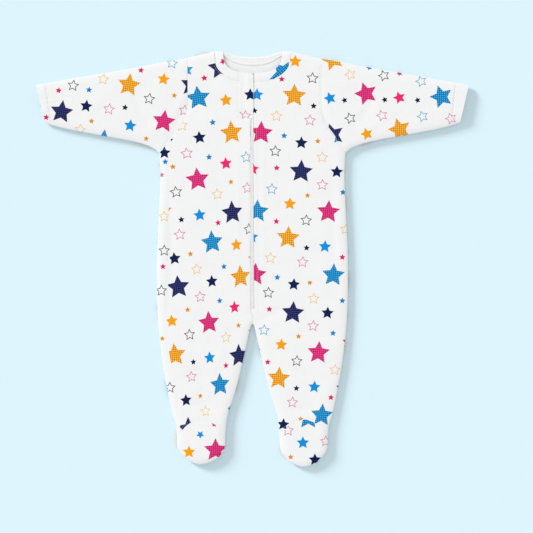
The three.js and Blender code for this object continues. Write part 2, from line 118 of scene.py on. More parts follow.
backFolds = [
    (104, 110, 106, -70, 8, -0.5, 2),
    (-104, 114, -108, -64, 8, -0.5, -2),
    (-60, 190, 60, 186, 9, -0.4, 3),
    (-40, 20, 44, 6, 10, -0.4, 4),
    (-50, -40, 38, -56, 10, -0.4, 3),
    (120, 150, 76, 206, 6, -0.5, 3),
    (-120, 150, -76, 204, 6, -0.5, -3),
    (52, -130, 84, -150, 8, -0.4, 2),
    (-52, -132, -84, -148, 8, -0.4, 2),
]


def smoothCurve(points, perSpan=26):
    p = np.array([points[0], *points, points[-1]], float)
    t = np.linspace(0, 1, perSpan, endpoint=False)[:, None]
    spans = []
    for a, b, c, d in zip(p, p[1:], p[2:], p[3:]):
        v0, v1 = (c - a) / 2, (d - b) / 2
        spans.append((2 * b - 2 * c + v0 + v1) * t**3 + (-3 * b + 3 * c - 2 * v0 - v1) * t**2 + v0 * t + b)
    return np.vstack([*spans, p[-1:]])


def walked(line):
    return np.concatenate([[0], np.cumsum(np.linalg.norm(np.diff(line, axis=0), axis=1))])


def along(line, shares):
    run = walked(line)
    where = np.asarray(shares) * run[-1]
    return np.stack([np.interp(where, run, line[:, k]) for k in range(line.shape[1])], -1)


def crossing(line, y):
    order = np.argsort(line[:, 1])
    return np.interp(y, line[order, 1], line[order, 0])


def mix(a, b, t):
    return a + (b - a) * t


def smoothStep(x, low, high):
    t = np.clip((x - low) / (high - low), 0, 1)
    return t * t * (3 - 2 * t)


sideLine = smoothCurve(side)
inseamLine = smoothCurve(inseam)
toeLine = smoothCurve(toe)
armholeLines = {hand: smoothCurve(points) for hand, points in armholes.items()}
archLine = smoothCurve(footArch)
sleeveTopLine = smoothCurve([*sleeveTop, cuffTop])
topEdge = np.vstack([[(38, shoulderTop), (neckHalf, shoulderTop)], sleeveTopLine])
lowEdge = np.vstack([[cuffBottom], smoothCurve(sleeveBottom), sideLine, toeLine, inseamLine])


def nearestOn(points, line):
    # distance to a line, and how far along it that is, for many points at once
    start, run = line[:-1], np.diff(line, axis=0)
    lengths = np.maximum((run**2).sum(1), 1e-12)
    behind = walked(line)[:-1]
    reach, place = np.empty(len(points)), np.empty(len(points))
    lot = 3000  # so many points at a time, to spare memory
    for k in range(0, len(points), lot):
        p = points[k:k + lot, None, :]
        share = np.clip(((p - start) * run).sum(-1) / lengths, 0, 1)
        gaps = np.linalg.norm(p - (start + run * share[..., None]), axis=-1)
        best = gaps.argmin(1)
        rows = np.arange(len(best))
        reach[k:k + lot] = gaps[rows, best]
        place[k:k + lot] = behind[best] + share[rows, best] * np.sqrt(lengths[best])
    return reach, place


def edgeDepth(x, y):
    points = np.stack([np.abs(x).ravel(), y.ravel()], -1)
    depth = np.minimum(nearestOn(points, topEdge)[0], nearestOn(points, lowEdge)[0])
    return depth.reshape(x.shape)


def foldsAt(x, y, folds):
    height = np.zeros_like(x)
    for x0, y0, x1, y1, width, rise, bow in folds:
        runX, runY = x1 - x0, y1 - y0
        length = math.hypot(runX, runY)
        share = ((x - x0) * runX + (y - y0) * runY) / length**2
        aside = ((x - x0) * runY - (y - y0) * runX) / length - bow * np.sin(math.pi * share)
        bell = np.sin(math.pi * np.clip(share, 0, 1)) ** 0.7
        height += rise * np.exp(-((aside / width) ** 2)) * bell
    return height


def swellAt(x, y, size, seed):
    # slow unevenness of cloth that was smoothed out by hand
    shift = Vector((seed * 7.3, seed * 3.1, seed))
    flat = [noise.noise(Vector((a / size, b / size, 0)) + shift) for a, b in zip(x.ravel(), y.ravel())]
    return np.array(flat).reshape(x.shape)


# Seams that pull the cloth in: line, depth of the valley, its width, height and spacing of the puckers.
def seamsOf(hand):
    return [
        {"line": armholeLines[hand], "depth": 0.5, "width": 2.6, "pucker": 0.3, "pitch": 8.5},
        {"line": archLine, "depth": 0.12, "width": 3.0, "pucker": 0.22, "pitch": 6.0},
        {"line": smoothCurve(bandFrontSewn), "depth": 0.4, "width": 1.7, "pucker": 0.18, "pitch": 7.5},
        {"line": np.array(cuffSeams[hand], float), "depth": 0.8, "width": 1.2, "pucker": 0.2, "pitch": 7.0},
    ]


# On the left the back comes round to the front as far as this line, by level.
sideWrap = np.array([(-106, 150), (-107, 137), (-109, 62), (-106.5, 12), (-110, -42), (-112, -100),
                     (-100, -165), (-94, -200)], float)


seamRipple = {"wander": 2.1, "wanderPace": 0.19, "leftShift": 3.7, "reach": 5.5, "still": 1.6}


def seamPull(x, y):
    hand = 1 if x.mean() > 0 else -1
    points = np.stack([np.abs(x).ravel(), y.ravel()], -1)
    height = np.zeros(len(points))
    for n, seam in enumerate(seamsOf(hand)):
        reach, place = nearestOn(points, seam["line"])
        near = np.exp(-((reach / seam["width"]) ** 2))
        wander = place + seamRipple["wander"] * np.sin(place * seamRipple["wanderPace"] + n)
        wander = wander + (0 if hand > 0 else seamRipple["leftShift"])
        ripple = np.sin(2 * math.pi * wander / seam["pitch"]) * np.exp(-reach / seamRipple["reach"])
        fades = smoothStep(reach, 0, seamRipple["still"])
        height += -seam["depth"] * near + seam["pucker"] * ripple * fades
    return height.reshape(x.shape)


def pastWrap(x, y):
    # how far a place lies beyond the wrapped side seam, towards the edge
    return np.interp(y, sideWrap[::-1, 1], sideWrap[::-1, 0]) - x


wrapSeam = {"top": 134, "low": -190, "innermost": -60, "depth": 0.3, "width": 1.5}


def wrapGroove(x, y):
    inside = (y < wrapSeam["top"]) & (y > wrapSeam["low"]) & (x < wrapSeam["innermost"])
    return np.where(inside, -wrapSeam["depth"] * np.exp(-((pastWrap(x, y) / wrapSeam["width"]) ** 2)), 0)


guardPress = {"left": (-20.5, -15.5), "right": (2.2, 5), "low": (178, 184), "high": (243, 250), "depth": 0.5}


def underGuard(x, y):
    # 1 where the zip guard presses the cloth down, 0 away from it
    right, high = guardPress["right"], guardPress["high"]
    aside = smoothStep(x, *guardPress["left"]) * smoothStep(-x, -right[1], -right[0])
    return aside * smoothStep(y, *guardPress["low"]) * smoothStep(-y, -high[1], -high[0])


gathers = {"centre": (66.5, -238), "fadeIn": (15, 29), "below": (232, 246), "count": 34, "height": 0.3,
           "outerSide": 1.5}


def toeGathers(x, y):
    # the toe is eased in round its edge: fine radial gathers that die out towards the instep
    cx, cy = gathers["centre"]
    dx, dy = np.abs(x) - cx, y - cy
    around, rim = np.arctan2(dx, -dy), np.hypot(dx, dy)
    strength = smoothStep(rim, *gathers["fadeIn"]) * smoothStep(-y, *gathers["below"])
    strength = strength * np.where(x > 60, gathers["outerSide"], 1.0)
    wave = np.sin(around * gathers["count"] + 1.4 * np.sin(around * 7 + np.where(x < 0, 1.0, 0.2)))
    return gathers["height"] * wave * strength * (0.55 + 0.45 * np.sin(around * 3 + 1))


swells = ((0.5, 34, 1), (0.22, 13, 2))  # slow unevenness: height, size and seed


def layOut(x, y, layer):
    # outer face of the front or the back as it lies
    depth = edgeDepth(x, y)
    lean = np.clip(1 - depth / lie["rollWidth"], 0, 1)
    drop = 1 - np.sqrt(np.maximum(0, 1 - lean**2))
    calm = (1 - drop) ** 2 * (1 - lean)
    gap = lie["seamGap"] / 2
    if layer == "front":
        riseFrom, riseTo = lie["footRise"]
        flat = mix(lie["bodyCrown"], lie["footCrown"], smoothStep(-y, -riseFrom, -riseTo))
        meet = lie["seamHeight"] + gap
        loose = foldsAt(x, y, frontFolds)
        for height, size, seed in swells:
            loose = loose + height * swellAt(x, y, size, seed)
        loose += wrapGroove(x, y) + toeGathers(x, y) - guardPress["depth"] * underGuard(x, y)
        return mix(flat, meet, drop) + loose * calm + seamPull(x, y) * np.clip(calm * 1.6, 0, 1)
    meet = lie["seamHeight"] - gap
    loose = np.maximum(-foldsAt(x, y, backFolds), 0) * calm
    return mix(0, meet, drop) + loose


def rollSteps(count):
    return lie["rollWidth"] * (1 - np.cos(np.pi / 2 * np.arange(count + 1) / count))


def sharesAcross(width, edgeCount, middleCount, firstEdge=True):
    near = rollSteps(edgeCount) / width
    start = near if firstEdge else np.array([0.0])
    between = np.linspace(start[-1], 1 - near[-1], middleCount + 1)[1:-1]
    return np.concatenate([start, between, (1 - near)[::-1]])


def patch(top, bottom, first, last, shares, steps):
    # places of a patch between four edges
    s, t = shares[None, :, None], steps[:, None, None]
    across = mix(top[None], bottom[None], t)
    edgeFirst = first[:, None] - mix(top[0], bottom[0], t)
    edgeLast = last[:, None] - mix(top[-1], bottom[-1], t)
    return across + (1 - s) * edgeFirst + s * edgeLast


# Printed star charts: squares of 1.3 mm, counted right and down from a large star, by kind and ink.
chartSquare = 1.3
bodyRepeat = (142, 142)  # the print comes again after so many squares
inks = {
    "navy": (0.001, 0.011, 0.075),
    "blue": (0.001, 0.285, 0.74),
    "pink": (0.88, 0.02, 0.165),
    "orange": (0.93, 0.37, 0.001),
    "pinNavy": (0.006, 0.011, 0.10),
    "pinBlue": (0.003, 0.25, 0.70),
    "pinPink": (0.93, 0.019, 0.175),
    "pinOrange": (1.25, 0.345, 0.01),
    "lineBlack": (0.09, 0.09, 0.10),
    "linePink": (0.74, 0.27, 0.42),
    "lineBlue": (0.16, 0.42, 0.66),
    "lineGold": (0.88, 0.60, 0.24),
}
marks = {"grid": -1, "plain": 0, "plump": -0.3, "bare": -2}  # an outlined star's mark is its line's width
kinds = {  # outer radius in squares, and the mark
    "pin": (12.0, marks["grid"]),
    "solid": (6.6, marks["plain"]),
    "line": (6.3, 0.1),
    "small": (2.8, marks["plump"]),
    "dot": (2.5, marks["plump"]),
    "upended": (-4.2, marks["plain"]),
    "bare": (9.0, marks["bare"]),  # keeps cloth white where the repeat has a motif that the panel lacks
}
starForm = {
    "waist": 0.49,  # inner corners, as a share of the radius
    "plumpness": 0.08,  # how far the plump ones stand out
    "dullness": 0.2,  # and how much weaker their ink is
    "sharpness": 40,
    "creep": 0.012,  # ink past the outline
    "lineSharpness": 22,
    "gridStep": 1.3,  # half of the distance between two lines of the grid, mm
    "gridLine": 0.5,  # share of the step that is line
    "gridLight": 1.6,
    "gridDark": 0.35,
    "gridWhite": 0.06,
    "brightest": 0.93,
}
bodyChart = {
    ("pin", "pinBlue"): [(0, 0), (62.5, 83)],
    ("pin", "pinPink"): [(-9, 79), (63.5, 4.5)],
    ("pin", "pinNavy"): [(-38, 40.5), (23.5, 115)],
    ("pin", "pinOrange"): [(-47.5, 107.5), (28.8, 37)],
    ("solid", "navy"): [(-39, 12), (-3, 38.5)],
    ("solid", "orange"): [(-47.5, 73.5), (26, 5.2)],
    ("solid", "blue"): [(-10.3, 114), (58.5, 109)],
    ("solid", "pink"): [(56.5, 41), (20.5, 66.5)],
    ("line", "lineGold"): [(-64, 129), (-18, 25), (9.3, 95.5)],
    ("line", "linePink"): [(-31.5, 131), (-16.5, 52.5), (44.2, 20), (41.5, 92.5)],
    ("line", "lineBlack"): [(-64, 22), (-30.5, 89), (41, 133)],
    ("line", "lineBlue"): [(76, 60), (42.3, 62.5)],
    ("small", "blue"): [(-56, 6), (4.2, 58.5), (11, 25.2)],
    ("small", "pink"): [(-62, 38.5), (-60, 92), (7.8, 123.5)],
    ("small", "navy"): [(-28.5, 116.5), (56.5, 125)],
    ("dot", "orange"): [(-23, 9.2), (-30.5, 64), (24.3, 85)],
}
onceRepeat = (1000, 1000)  # so wide that a motif comes once on its panel
leftOnly = {
    ("bare", "navy"): [(42.3, 204.5), (41, -9), (-3, 322.5), (-12, -28.5)],
    ("solid", "blue"): [(-7.2, -28.3)],
}
rightOnly = {("dot", "orange"): [(-21.5, 147.3)]}
leftSleeveChart = {  # counted from the navy star beside the cuff, as the sleeve lies
    ("pin", "pinNavy"): [(0, 0), (130, -26.5)],
    ("pin", "pinOrange"): [(67.2, -26.8)],
    ("pin", "pinPink"): [(102, 9.6)],
    ("pin", "pinBlue"): [(41.6, 29.1)],
    ("solid", "orange"): [(101.9, -32.5)],
    ("solid", "navy"): [(24.6, -5.7)],
    ("solid", "blue"): [(68.5, 13.8)],
    ("line", "lineBlack"): [(11.6, -26.2), (87.6, -13)],
    ("line", "lineGold"): [(41.7, -32.5), (18.5, 17.8)],
    ("line", "linePink"): [(47.4, -2.6), (122.6, -1.2)],
    ("line", "lineBlue"): [(110.4, -48.5)],
    ("small", "pink"): [(-2.9, -21.3), (-15.3, 5.5), (79.3, -41.5)],
    ("small", "blue"): [(27.4, -21.9)],
    ("small", "navy"): [(63.4, -4.3)],
    ("dot", "orange"): [(29.9, 9.3), (84.5, 26.8), (112.6, -16.3)],
}
rightSleeveChart = {  # counted from the blue star beside the cuff, as the sleeve lies
    ("pin", "pinBlue"): [(0, 0)],
    ("pin", "pinPink"): [(-75.3, -3.2)],
    ("pin", "pinOrange"): [(-41.7, 32.5), (-108.5, -37.5)],
    ("pin", "pinNavy"): [(-108.5, 38)],
    ("solid", "blue"): [(-111.2, 1.4)],
    ("solid", "pink"): [(-42, 0.9)],
    ("solid", "orange"): [(-74.5, 37.1)],
    ("line", "lineGold"): [(-91, -22)],
    ("line", "lineBlack"): [(-57.4, -21.1), (-91, 21.4)],
    ("line", "lineBlue"): [(-20.2, -15.4), (-18.7, 19.7)],
    ("line", "linePink"): [(-59.3, 18.7), (9.5, 21.7)],
    ("small", "pink"): [(-41.7, -23.6)],
    ("small", "navy"): [(-96.7, 3.5), (-56.6, 3), (-23.8, 3.4)],
    ("small", "blue"): [(-72, -29.5), (-105.5, 47)],
}
footChart = {  # the left foot counts from 0, the right foot from 70 squares further on
    ("upended", "blue"): [(0.9, -5.7)],
    ("pin", "pinPink"): [(16.1, 9.7)],
    ("pin", "pinBlue"): [(76, -22.5)],
    ("pin", "pinOrange"): [(98, 44)],
    ("solid", "orange"): [(-10.4, 11.7)],
    ("solid", "blue"): [(70.6, 2.4)],
    ("solid", "navy"): [(82.6, 19.4)],
    ("line", "lineGold"): [(-12, 34)],
    ("line", "linePink"): [(55.8, -9.7), (93.5, 1)],
    ("dot", "pink"): [(14.8, -15.8)],
    ("dot", "orange"): [(58.5, 16.7)],
}
guardChart = {  # counted from the middle of the neck
    ("solid", "navy"): [(-2.2, 35.3)],
    ("line", "linePink"): [(-7, 56.5), (5.4, 16)],
}
bandChart = {("pin", "pinBlue"): [(0, 0)], ("small", "pink"): [(-28.6, -47.9)]}  # counted from its blue star
sideChart = {  # the back's print where it comes round the left side, counted from the garment's centre
    ("solid", "navy"): [(-88, -106)],
    ("line", "lineGold"): [(-88.2, -42.3)],
    ("line", "lineBlack"): [(-88.1, -8.3), (-91, 31.6), (-82.5, 128.5)],
    ("small", "pink"): [(-89.4, 7.6)],
    ("small", "blue"): [(-87.1, -97)],
    ("dot", "orange"): [(-90.1, 79.4)],
    ("dot", "linePink"): [(-90.6, -84)],
}


def wire(tree, socket, value):
    if isinstance(value, bpy.types.NodeSocket):
        tree.links.new(value, socket)
    elif value is not None:
        socket.default_value = value


def mathNode(tree, operation, a, b=None, clamp=False):
    made = tree.nodes.new("ShaderNodeMath")
    made.inputs[2].default_value = 0.05  # how near COMPARE wants two numbers
    made.operation = operation
    made.use_clamp = clamp
    wire(tree, made.inputs[0], a)
    wire(tree, made.inputs[1], b)
    return made.outputs[0]


def vectorNode(tree, operation, a, b=None, c=None, scale=None):
    made = tree.nodes.new("ShaderNodeVectorMath")
    made.operation = operation
    for socket, value in zip(made.inputs, (a, b, c)):
        wire(tree, socket, value)
    if scale is not None:
        made.inputs[3].default_value = scale
    return made.outputs["Value" if operation == "LENGTH" else "Vector"]


def parted(tree, place):
    made = tree.nodes.new("ShaderNodeSeparateXYZ")
    wire(tree, made.inputs[0], place)
    return made.outputs


def mixNode(tree, kind, factor, a, b):
    made = tree.nodes.new("ShaderNodeMix")
    made.data_type = kind
    made.clamp_factor = True
    slots = {"FLOAT": (0, 2, 3, 0), "VECTOR": (0, 4, 5, 1), "RGBA": (0, 6, 7, 2)}[kind]
    wire(tree, made.inputs[slots[0]], factor)
    wire(tree, made.inputs[slots[1]], a)
    wire(tree, made.inputs[slots[2]], b)
    return made.outputs[slots[3]]


def motifsOf(chart, repeat):
    return [(*look, *place, repeat) for look, places in chart.items() for place in places]


def starGroup(name, motifs, turn=0.0):
    # finds the nearest motif of the chart, then tests whether the place lies inside its star
    tree = bpy.data.node_groups.new(name, "ShaderNodeTree")
    tree.interface.new_socket("Place", in_out="INPUT", socket_type="NodeSocketVector")
    tree.interface.new_socket("Ink", in_out="OUTPUT", socket_type="NodeSocketColor")
    tree.interface.new_socket("Cover", in_out="OUTPUT", socket_type="NodeSocketFloat")
    place = tree.nodes.new("NodeGroupInput").outputs["Place"]
    calc = partial(mathNode, tree)
    cosTurn, sinTurn = math.cos(turn), math.sin(turn)
    nearest = None
    for kind, ink, right, down, repeat in motifs:
        radius, mark = kinds[kind]
        halfWide, halfTall = (n * chartSquare / 2 for n in repeat)
        x = (right * cosTurn + down * sinTurn) * chartSquare
        y = (right * sinTurn - down * cosTurn) * chartSquare
        high, low = (x + halfWide, y + halfTall, 1), (x - halfWide, y - halfTall, -1)
        away = vectorNode(tree, "SUBTRACT", vectorNode(tree, "WRAP", place, high, low), (x, y, 0))
        away = vectorNode(tree, "SCALE", away, scale=1 / (radius * chartSquare))
        reach = vectorNode(tree, "LENGTH", away)
        colour = (*inks[ink], 1)
        if nearest is None:
            nearest = {"away": away, "reach": reach, "ink": colour, "mark": mark}
            continue
        closer = calc("LESS_THAN", reach, nearest["reach"])
        nearest = {
            "away": mixNode(tree, "VECTOR", closer, nearest["away"], away),
            "reach": calc("MINIMUM", reach, nearest["reach"]),
            "ink": mixNode(tree, "RGBA", closer, nearest["ink"], colour),
            "mark": mixNode(tree, "FLOAT", closer, nearest["mark"], mark),
        }
    mark = nearest["mark"]
    waist = starForm["waist"]
    tipX, tipY = waist * math.cos(math.pi / 5) - 1, waist * math.sin(math.pi / 5)
    slant, level = math.atan2(-tipX, tipY), tipY / math.hypot(tipX, tipY)
    away = parted(tree, nearest["away"])
    folded = calc("PINGPONG", calc("ARCTAN2", away["X"], away["Y"]), math.pi / 5)
    slanted = calc("COSINE", calc("SUBTRACT", folded, slant))
    inside = calc("SUBTRACT", level, calc("MULTIPLY", nearest["reach"], slanted))
    isPlump = calc("COMPARE", mark, marks["plump"])
    grown = calc("ADD", inside, calc("MULTIPLY", isPlump, starForm["plumpness"]))
    cover = calc("MULTIPLY", calc("ADD", grown, starForm["creep"]), starForm["sharpness"], clamp=True)
    hollow = calc("MULTIPLY", calc("SUBTRACT", inside, mark), starForm["lineSharpness"], clamp=True)
    hole = calc("MULTIPLY", hollow, calc("GREATER_THAN", mark, 0.01))
    cover = calc("SUBTRACT", cover, hole, clamp=True)
    cover = calc("MULTIPLY", cover, calc("GREATER_THAN", mark, (marks["grid"] + marks["bare"]) / 2))
    square, step = parted(tree, place), starForm["gridStep"]
    gap = calc("MINIMUM", calc("PINGPONG", square["X"], step), calc("PINGPONG", square["Y"], step))
    isGrid = calc("LESS_THAN", mark, marks["grid"] / 2)
    light = calc("MULTIPLY", calc("GREATER_THAN", gap, step * starForm["gridLine"]), isGrid)
    strength = calc("ADD", 1.0, calc("MULTIPLY", light, starForm["gridLight"]))
    strength = calc("SUBTRACT", strength, calc("MULTIPLY", isGrid, starForm["gridDark"]))
    strength = calc("SUBTRACT", strength, calc("MULTIPLY", isPlump, starForm["dullness"]))
    ink = vectorNode(tree, "SCALE", nearest["ink"])
    wire(tree, ink.node.inputs[3], strength)
    ink = vectorNode(tree, "MINIMUM", ink, (starForm["brightest"],) * 3)
    ink = mixNode(tree, "RGBA", calc("MULTIPLY", light, starForm["gridWhite"]), ink, (0.9, 0.9, 0.95, 1))
    out = tree.nodes.new("NodeGroupOutput")
    wire(tree, out.inputs["Ink"], ink)
    wire(tree, out.inputs["Cover"], cover)
    return tree


cotton = {
    "white": (0.92, 0.92, 0.922, 1),
    "shade": (0.89, 0.892, 0.897, 1),
    "cloudScale": 0.045,
    "lintScale": 1.9,
    "roughness": 0.9,
    "inkGloss": 0.1,
    "inkWear": 0.05,
    "specular": 0.1,
    "sheen": 0.05,
    "rib": 0.9,  # width of a knitted wale, mm
    "course": 0.7,
    "bump": 0.22,
    "bumpHeight": 0.25,
}


def knitHeight(tree, place):
    # small V-shaped stitches in upright columns
    parts = parted(tree, place)
    calc = partial(mathNode, tree)
    wale = calc("PINGPONG", parts["X"], cotton["rib"] / 2)
    slope = calc("ADD", parts["Y"], calc("MULTIPLY", wale, 0.9))
    return calc("ADD", wale, calc("PINGPONG", slope, cotton["course"] / 2))


def newMaterial(name):
    material = bpy.data.materials.new(name)
    material.use_nodes = True
    return material, material.node_tree, material.node_tree.nodes["Principled BSDF"]


def noiseNode(tree, place, scale, detail=2):
    made = tree.nodes.new("ShaderNodeTexNoise")
    made.inputs["Scale"].default_value = scale
    made.inputs["Detail"].default_value = detail
    wire(tree, made.inputs["Vector"], place)
    return made.outputs["Fac"]


def bumpInto(tree, shader, height, strength, distance):
    made = tree.nodes.new("ShaderNodeBump")
    made.inputs["Strength"].default_value = strength
    made.inputs["Distance"].default_value = distance * mm
    wire(tree, made.inputs["Height"], height)
    wire(tree, shader.inputs["Normal"], made.outputs["Normal"])


def uvPlace(tree, name):
    made = tree.nodes.new("ShaderNodeUVMap")
    made.uv_map = name
    return made.outputs["UV"]


def objectPlace(tree):
    # the garment's own coordinates, in millimetres
    where = tree.nodes.new("ShaderNodeTexCoord").outputs["Object"]
    return vectorNode(tree, "SCALE", where, scale=1 / mm)


def printNode(tree, name, motifs, place, turn=0.0):
    made = tree.nodes.new("ShaderNodeGroup")
    made.node_tree = starGroup(name, motifs, turn)
    wire(tree, made.inputs["Place"], place)
    return made.outputs["Ink"], made.outputs["Cover"]


def clothMaterial(name, chart=None, turn=0.0, repeat=bodyRepeat, once=None, wrapped=False):
    material, tree, shader = newMaterial(name)
    calc = partial(mathNode, tree)
    place = uvPlace(tree, "clothUV")
    cloudy = noiseNode(tree, place, cotton["cloudScale"], 3)
    colour = mixNode(tree, "RGBA", cloudy, cotton["shade"], cotton["white"])
    lint = noiseNode(tree, place, cotton["lintScale"], 4)
    shader.inputs["Roughness"].default_value = cotton["roughness"]
    if chart:
        motifs = motifsOf(chart, repeat) + motifsOf(once or {}, onceRepeat)
        ink, printed = printNode(tree, name + "Stars", motifs, place, turn)
        if wrapped:
            sideMotifs = motifsOf(sideChart, onceRepeat)
            sideInk, sidePrinted = printNode(tree, name + "SideStars", sideMotifs, objectPlace(tree))
            isPast = calc("MULTIPLY", parted(tree, uvPlace(tree, "sideUV"))["X"], 4, clamp=True)
            ink = mixNode(tree, "RGBA", isPast, ink, sideInk)
            printed = mixNode(tree, "FLOAT", isPast, printed, sidePrinted)
        worn = calc("MULTIPLY", calc("SUBTRACT", lint, 0.5), cotton["inkWear"], clamp=True)
        cover = calc("MULTIPLY", printed, calc("SUBTRACT", 1.0, worn))
        colour = mixNode(tree, "RGBA", cover, colour, ink)
        gloss = calc("MULTIPLY", cover, cotton["inkGloss"])
        wire(tree, shader.inputs["Roughness"], calc("SUBTRACT", cotton["roughness"], gloss))
    wire(tree, shader.inputs["Base Color"], colour)
    shader.inputs["Specular IOR Level"].default_value = cotton["specular"]
    shader.inputs["Sheen Weight"].default_value = cotton["sheen"]
    shader.inputs["Sheen Roughness"].default_value = 0.5
    height = calc("ADD", knitHeight(tree, place), calc("MULTIPLY", lint, 0.5))
    bumpInto(tree, shader, height, cotton["bump"], cotton["bumpHeight"])
    return material


print("Print and cotton")
leftSleeveTurn = math.radians(-8)
rightSleeveTurn = math.radians(90)
bodyCotton = clothMaterial("bodyCotton", bodyChart, once=rightOnly)
leftBodyCotton = clothMaterial("leftBodyCotton", bodyChart, once=leftOnly, wrapped=True)
leftSleeveCotton = clothMaterial("leftSleeveCotton", leftSleeveChart, -leftSleeveTurn, (160, 100))
rightSleeveCotton = clothMaterial("rightSleeveCotton", rightSleeveChart, -rightSleeveTurn, (100, 150))
footCotton = clothMaterial("footCotton", footChart)
guardCotton = clothMaterial("guardCotton", guardChart)
bandCotton = clothMaterial("bandCotton", bandChart, repeat=(300, 300))
reverseCotton = clothMaterial("reverseCotton")

# How each panel was laid on the print: the chart's start, turn, and the slow drift of a hand-cut panel.
printSpots = {
    "frontLeft": {"x": -70.5, "y": 209, "wide": 0.907, "lean": 0.111, "fan": -0.536, "bow": 0.066,
                  "swell": 1.03, "shear": 0.107, "tall": 0.966, "drop": -0.048},
    "frontRight": {"x": 104.9, "y": -20.9, "wide": 1.004, "lean": -0.072, "fan": -0.168, "bow": 0.072,
                   "shear": -0.0655, "tall": 1.0055, "drop": -0.026},
    "back": {"x": 31, "y": -62, "turn": math.radians(1.5)},
    "sleeveLeft": {"x": -247.8, "y": 191, "turn": leftSleeveTurn},
    "sleeveRight": {"x": 245.2, "y": 210.5, "turn": rightSleeveTurn},
    "footLeft": {"x": -68.9, "y": -235.3},
    "footRight": {"x": -26.4, "y": -235.3},
    "soleLeft": {"x": -30, "y": -180},
    "soleRight": {"x": 20, "y": -200},
    "guard": {"x": 0, "y": 259},
    "band": {"x": 39.5, "y": 242.1, "turn": math.radians(41.6), "wide": 0.77},  # stretched along the neck
}


def printPlace(spot, x, y):
    # from the garment to the chart of one panel
    dx, dy = x - spot["x"], y - spot["y"]
    turn = spot.get("turn", 0)
    u = (dx * math.cos(turn) + dy * math.sin(turn)) * spot.get("wide", 1) + dy * spot.get("lean", 0)
    curve = dx * dy * spot.get("fan", 0) + dy * dy * spot.get("bow", 0) + dx * dx * spot.get("swell", 0)
    u = u + curve / 1000
    v = (dy * math.cos(turn) - dx * math.sin(turn)) * spot.get("tall", 1) - dx * spot.get("shear", 0)
    v = v + dy * dy * spot.get("drop", 0) / 1000
    return np.stack([u, v], -1)


def objectFrom(name, b, materials):
    mesh = bpy.data.meshes.new(name)
    b.to_mesh(mesh)
    b.free()
    for material in materials:
        mesh.materials.append(material)
    made = bpy.data.objects.new(name, mesh)
    bpy.context.scene.collection.objects.link(made)
    return made


def sheetFrom(name, places, uvs, faceUp, thickness, materials, closedAround=False, sideUvs=None):
    # a grid whose points are moved to their places, then given the cloth's thickness inwards
    rows, columns = places.shape[:2]
    b = bmesh.new()
    bmesh.ops.create_grid(b, x_segments=columns - 1, y_segments=rows - 1, size=1)
    uvLayer = b.loops.layers.uv.new("clothUV")
    sideLayer = b.loops.layers.uv.new("sideUV") if sideUvs is not None else None
    b.verts.index_update()
    spots = {}
    for v in b.verts:
        i = round((v.co.x + 1) / 2 * (columns - 1))
        j = round((v.co.y + 1) / 2 * (rows - 1))
        spots[v.index] = (j, i)
    b.verts.ensure_lookup_table()
    for face in b.faces:
        source = uvs(min(spots[v.index][1] for v in face.verts)) if callable(uvs) else uvs
        for loop in face.loops:
            loop[uvLayer].uv = source[spots[loop.vert.index]]
            if sideLayer:
                loop[sideLayer].uv = sideUvs[spots[loop.vert.index]]
    for v in b.verts:
        v.co = Vector(places[spots[v.index]]) * mm
    b.normal_update()
    upward = sum(f.normal.z * f.calc_area() for f in b.faces)
    if closedAround:
        bmesh.ops.remove_doubles(b, verts=b.verts, dist=0.00001)
        b.normal_update()
        centre = sum((v.co for v in b.verts), Vector()) / len(b.verts)
        outward = sum(f.normal.z * (f.calc_center_median().z - centre.z) for f in b.faces)
        if outward < 0:
            bmesh.ops.reverse_faces(b, faces=b.faces)
    elif (upward > 0) != faceUp:
        bmesh.ops.reverse_faces(b, faces=b.faces)
    for face in b.faces:
        face.smooth = True
    made = objectFrom(name, b, materials)
    wall = made.modifiers.new("wall", "SOLIDIFY")
    wall.thickness = thickness * mm
    wall.offset = -1
    wall.material_offset = 1
    return settled(made)


def settled(piece, sharpAngle=0.85):
    # the modifiers' result becomes the mesh, with its cut edges crisp
    graph = bpy.context.evaluated_depsgraph_get()
    mesh = bpy.data.meshes.new_from_object(piece.evaluated_get(graph), depsgraph=graph)
    piece.modifiers.clear()
    piece.data = mesh
    b = bmesh.new()
    b.from_mesh(mesh)
    for edge in b.edges:
        edge.smooth = not (edge.is_manifold and edge.calc_face_angle() > sharpAngle)
    b.to_mesh(mesh)
    b.free()
    return piece


def dress(piece, node, slotName, **sheet):
    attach(piece, "root")
    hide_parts(node)


bodyGrid = {
    "edge": 9, "middle": 44, "yoke": 62, "shoulderRoll": 6, "rowPitch": 2.1, "instep": 14,
    "frontWidth": 118, "backWidth": 121, "legWidth": 100, "footWidth": 66,  # they set how far the edges round
    "frontNeckShare": 0.49, "backNeckShare": 0.46,  # of the top edge
}


def awayFromNeck(points):
    out = points - np.array([0, neckCentreY])
    return points + out / np.linalg.norm(out, axis=1)[:, None] * lie["seamGap"]


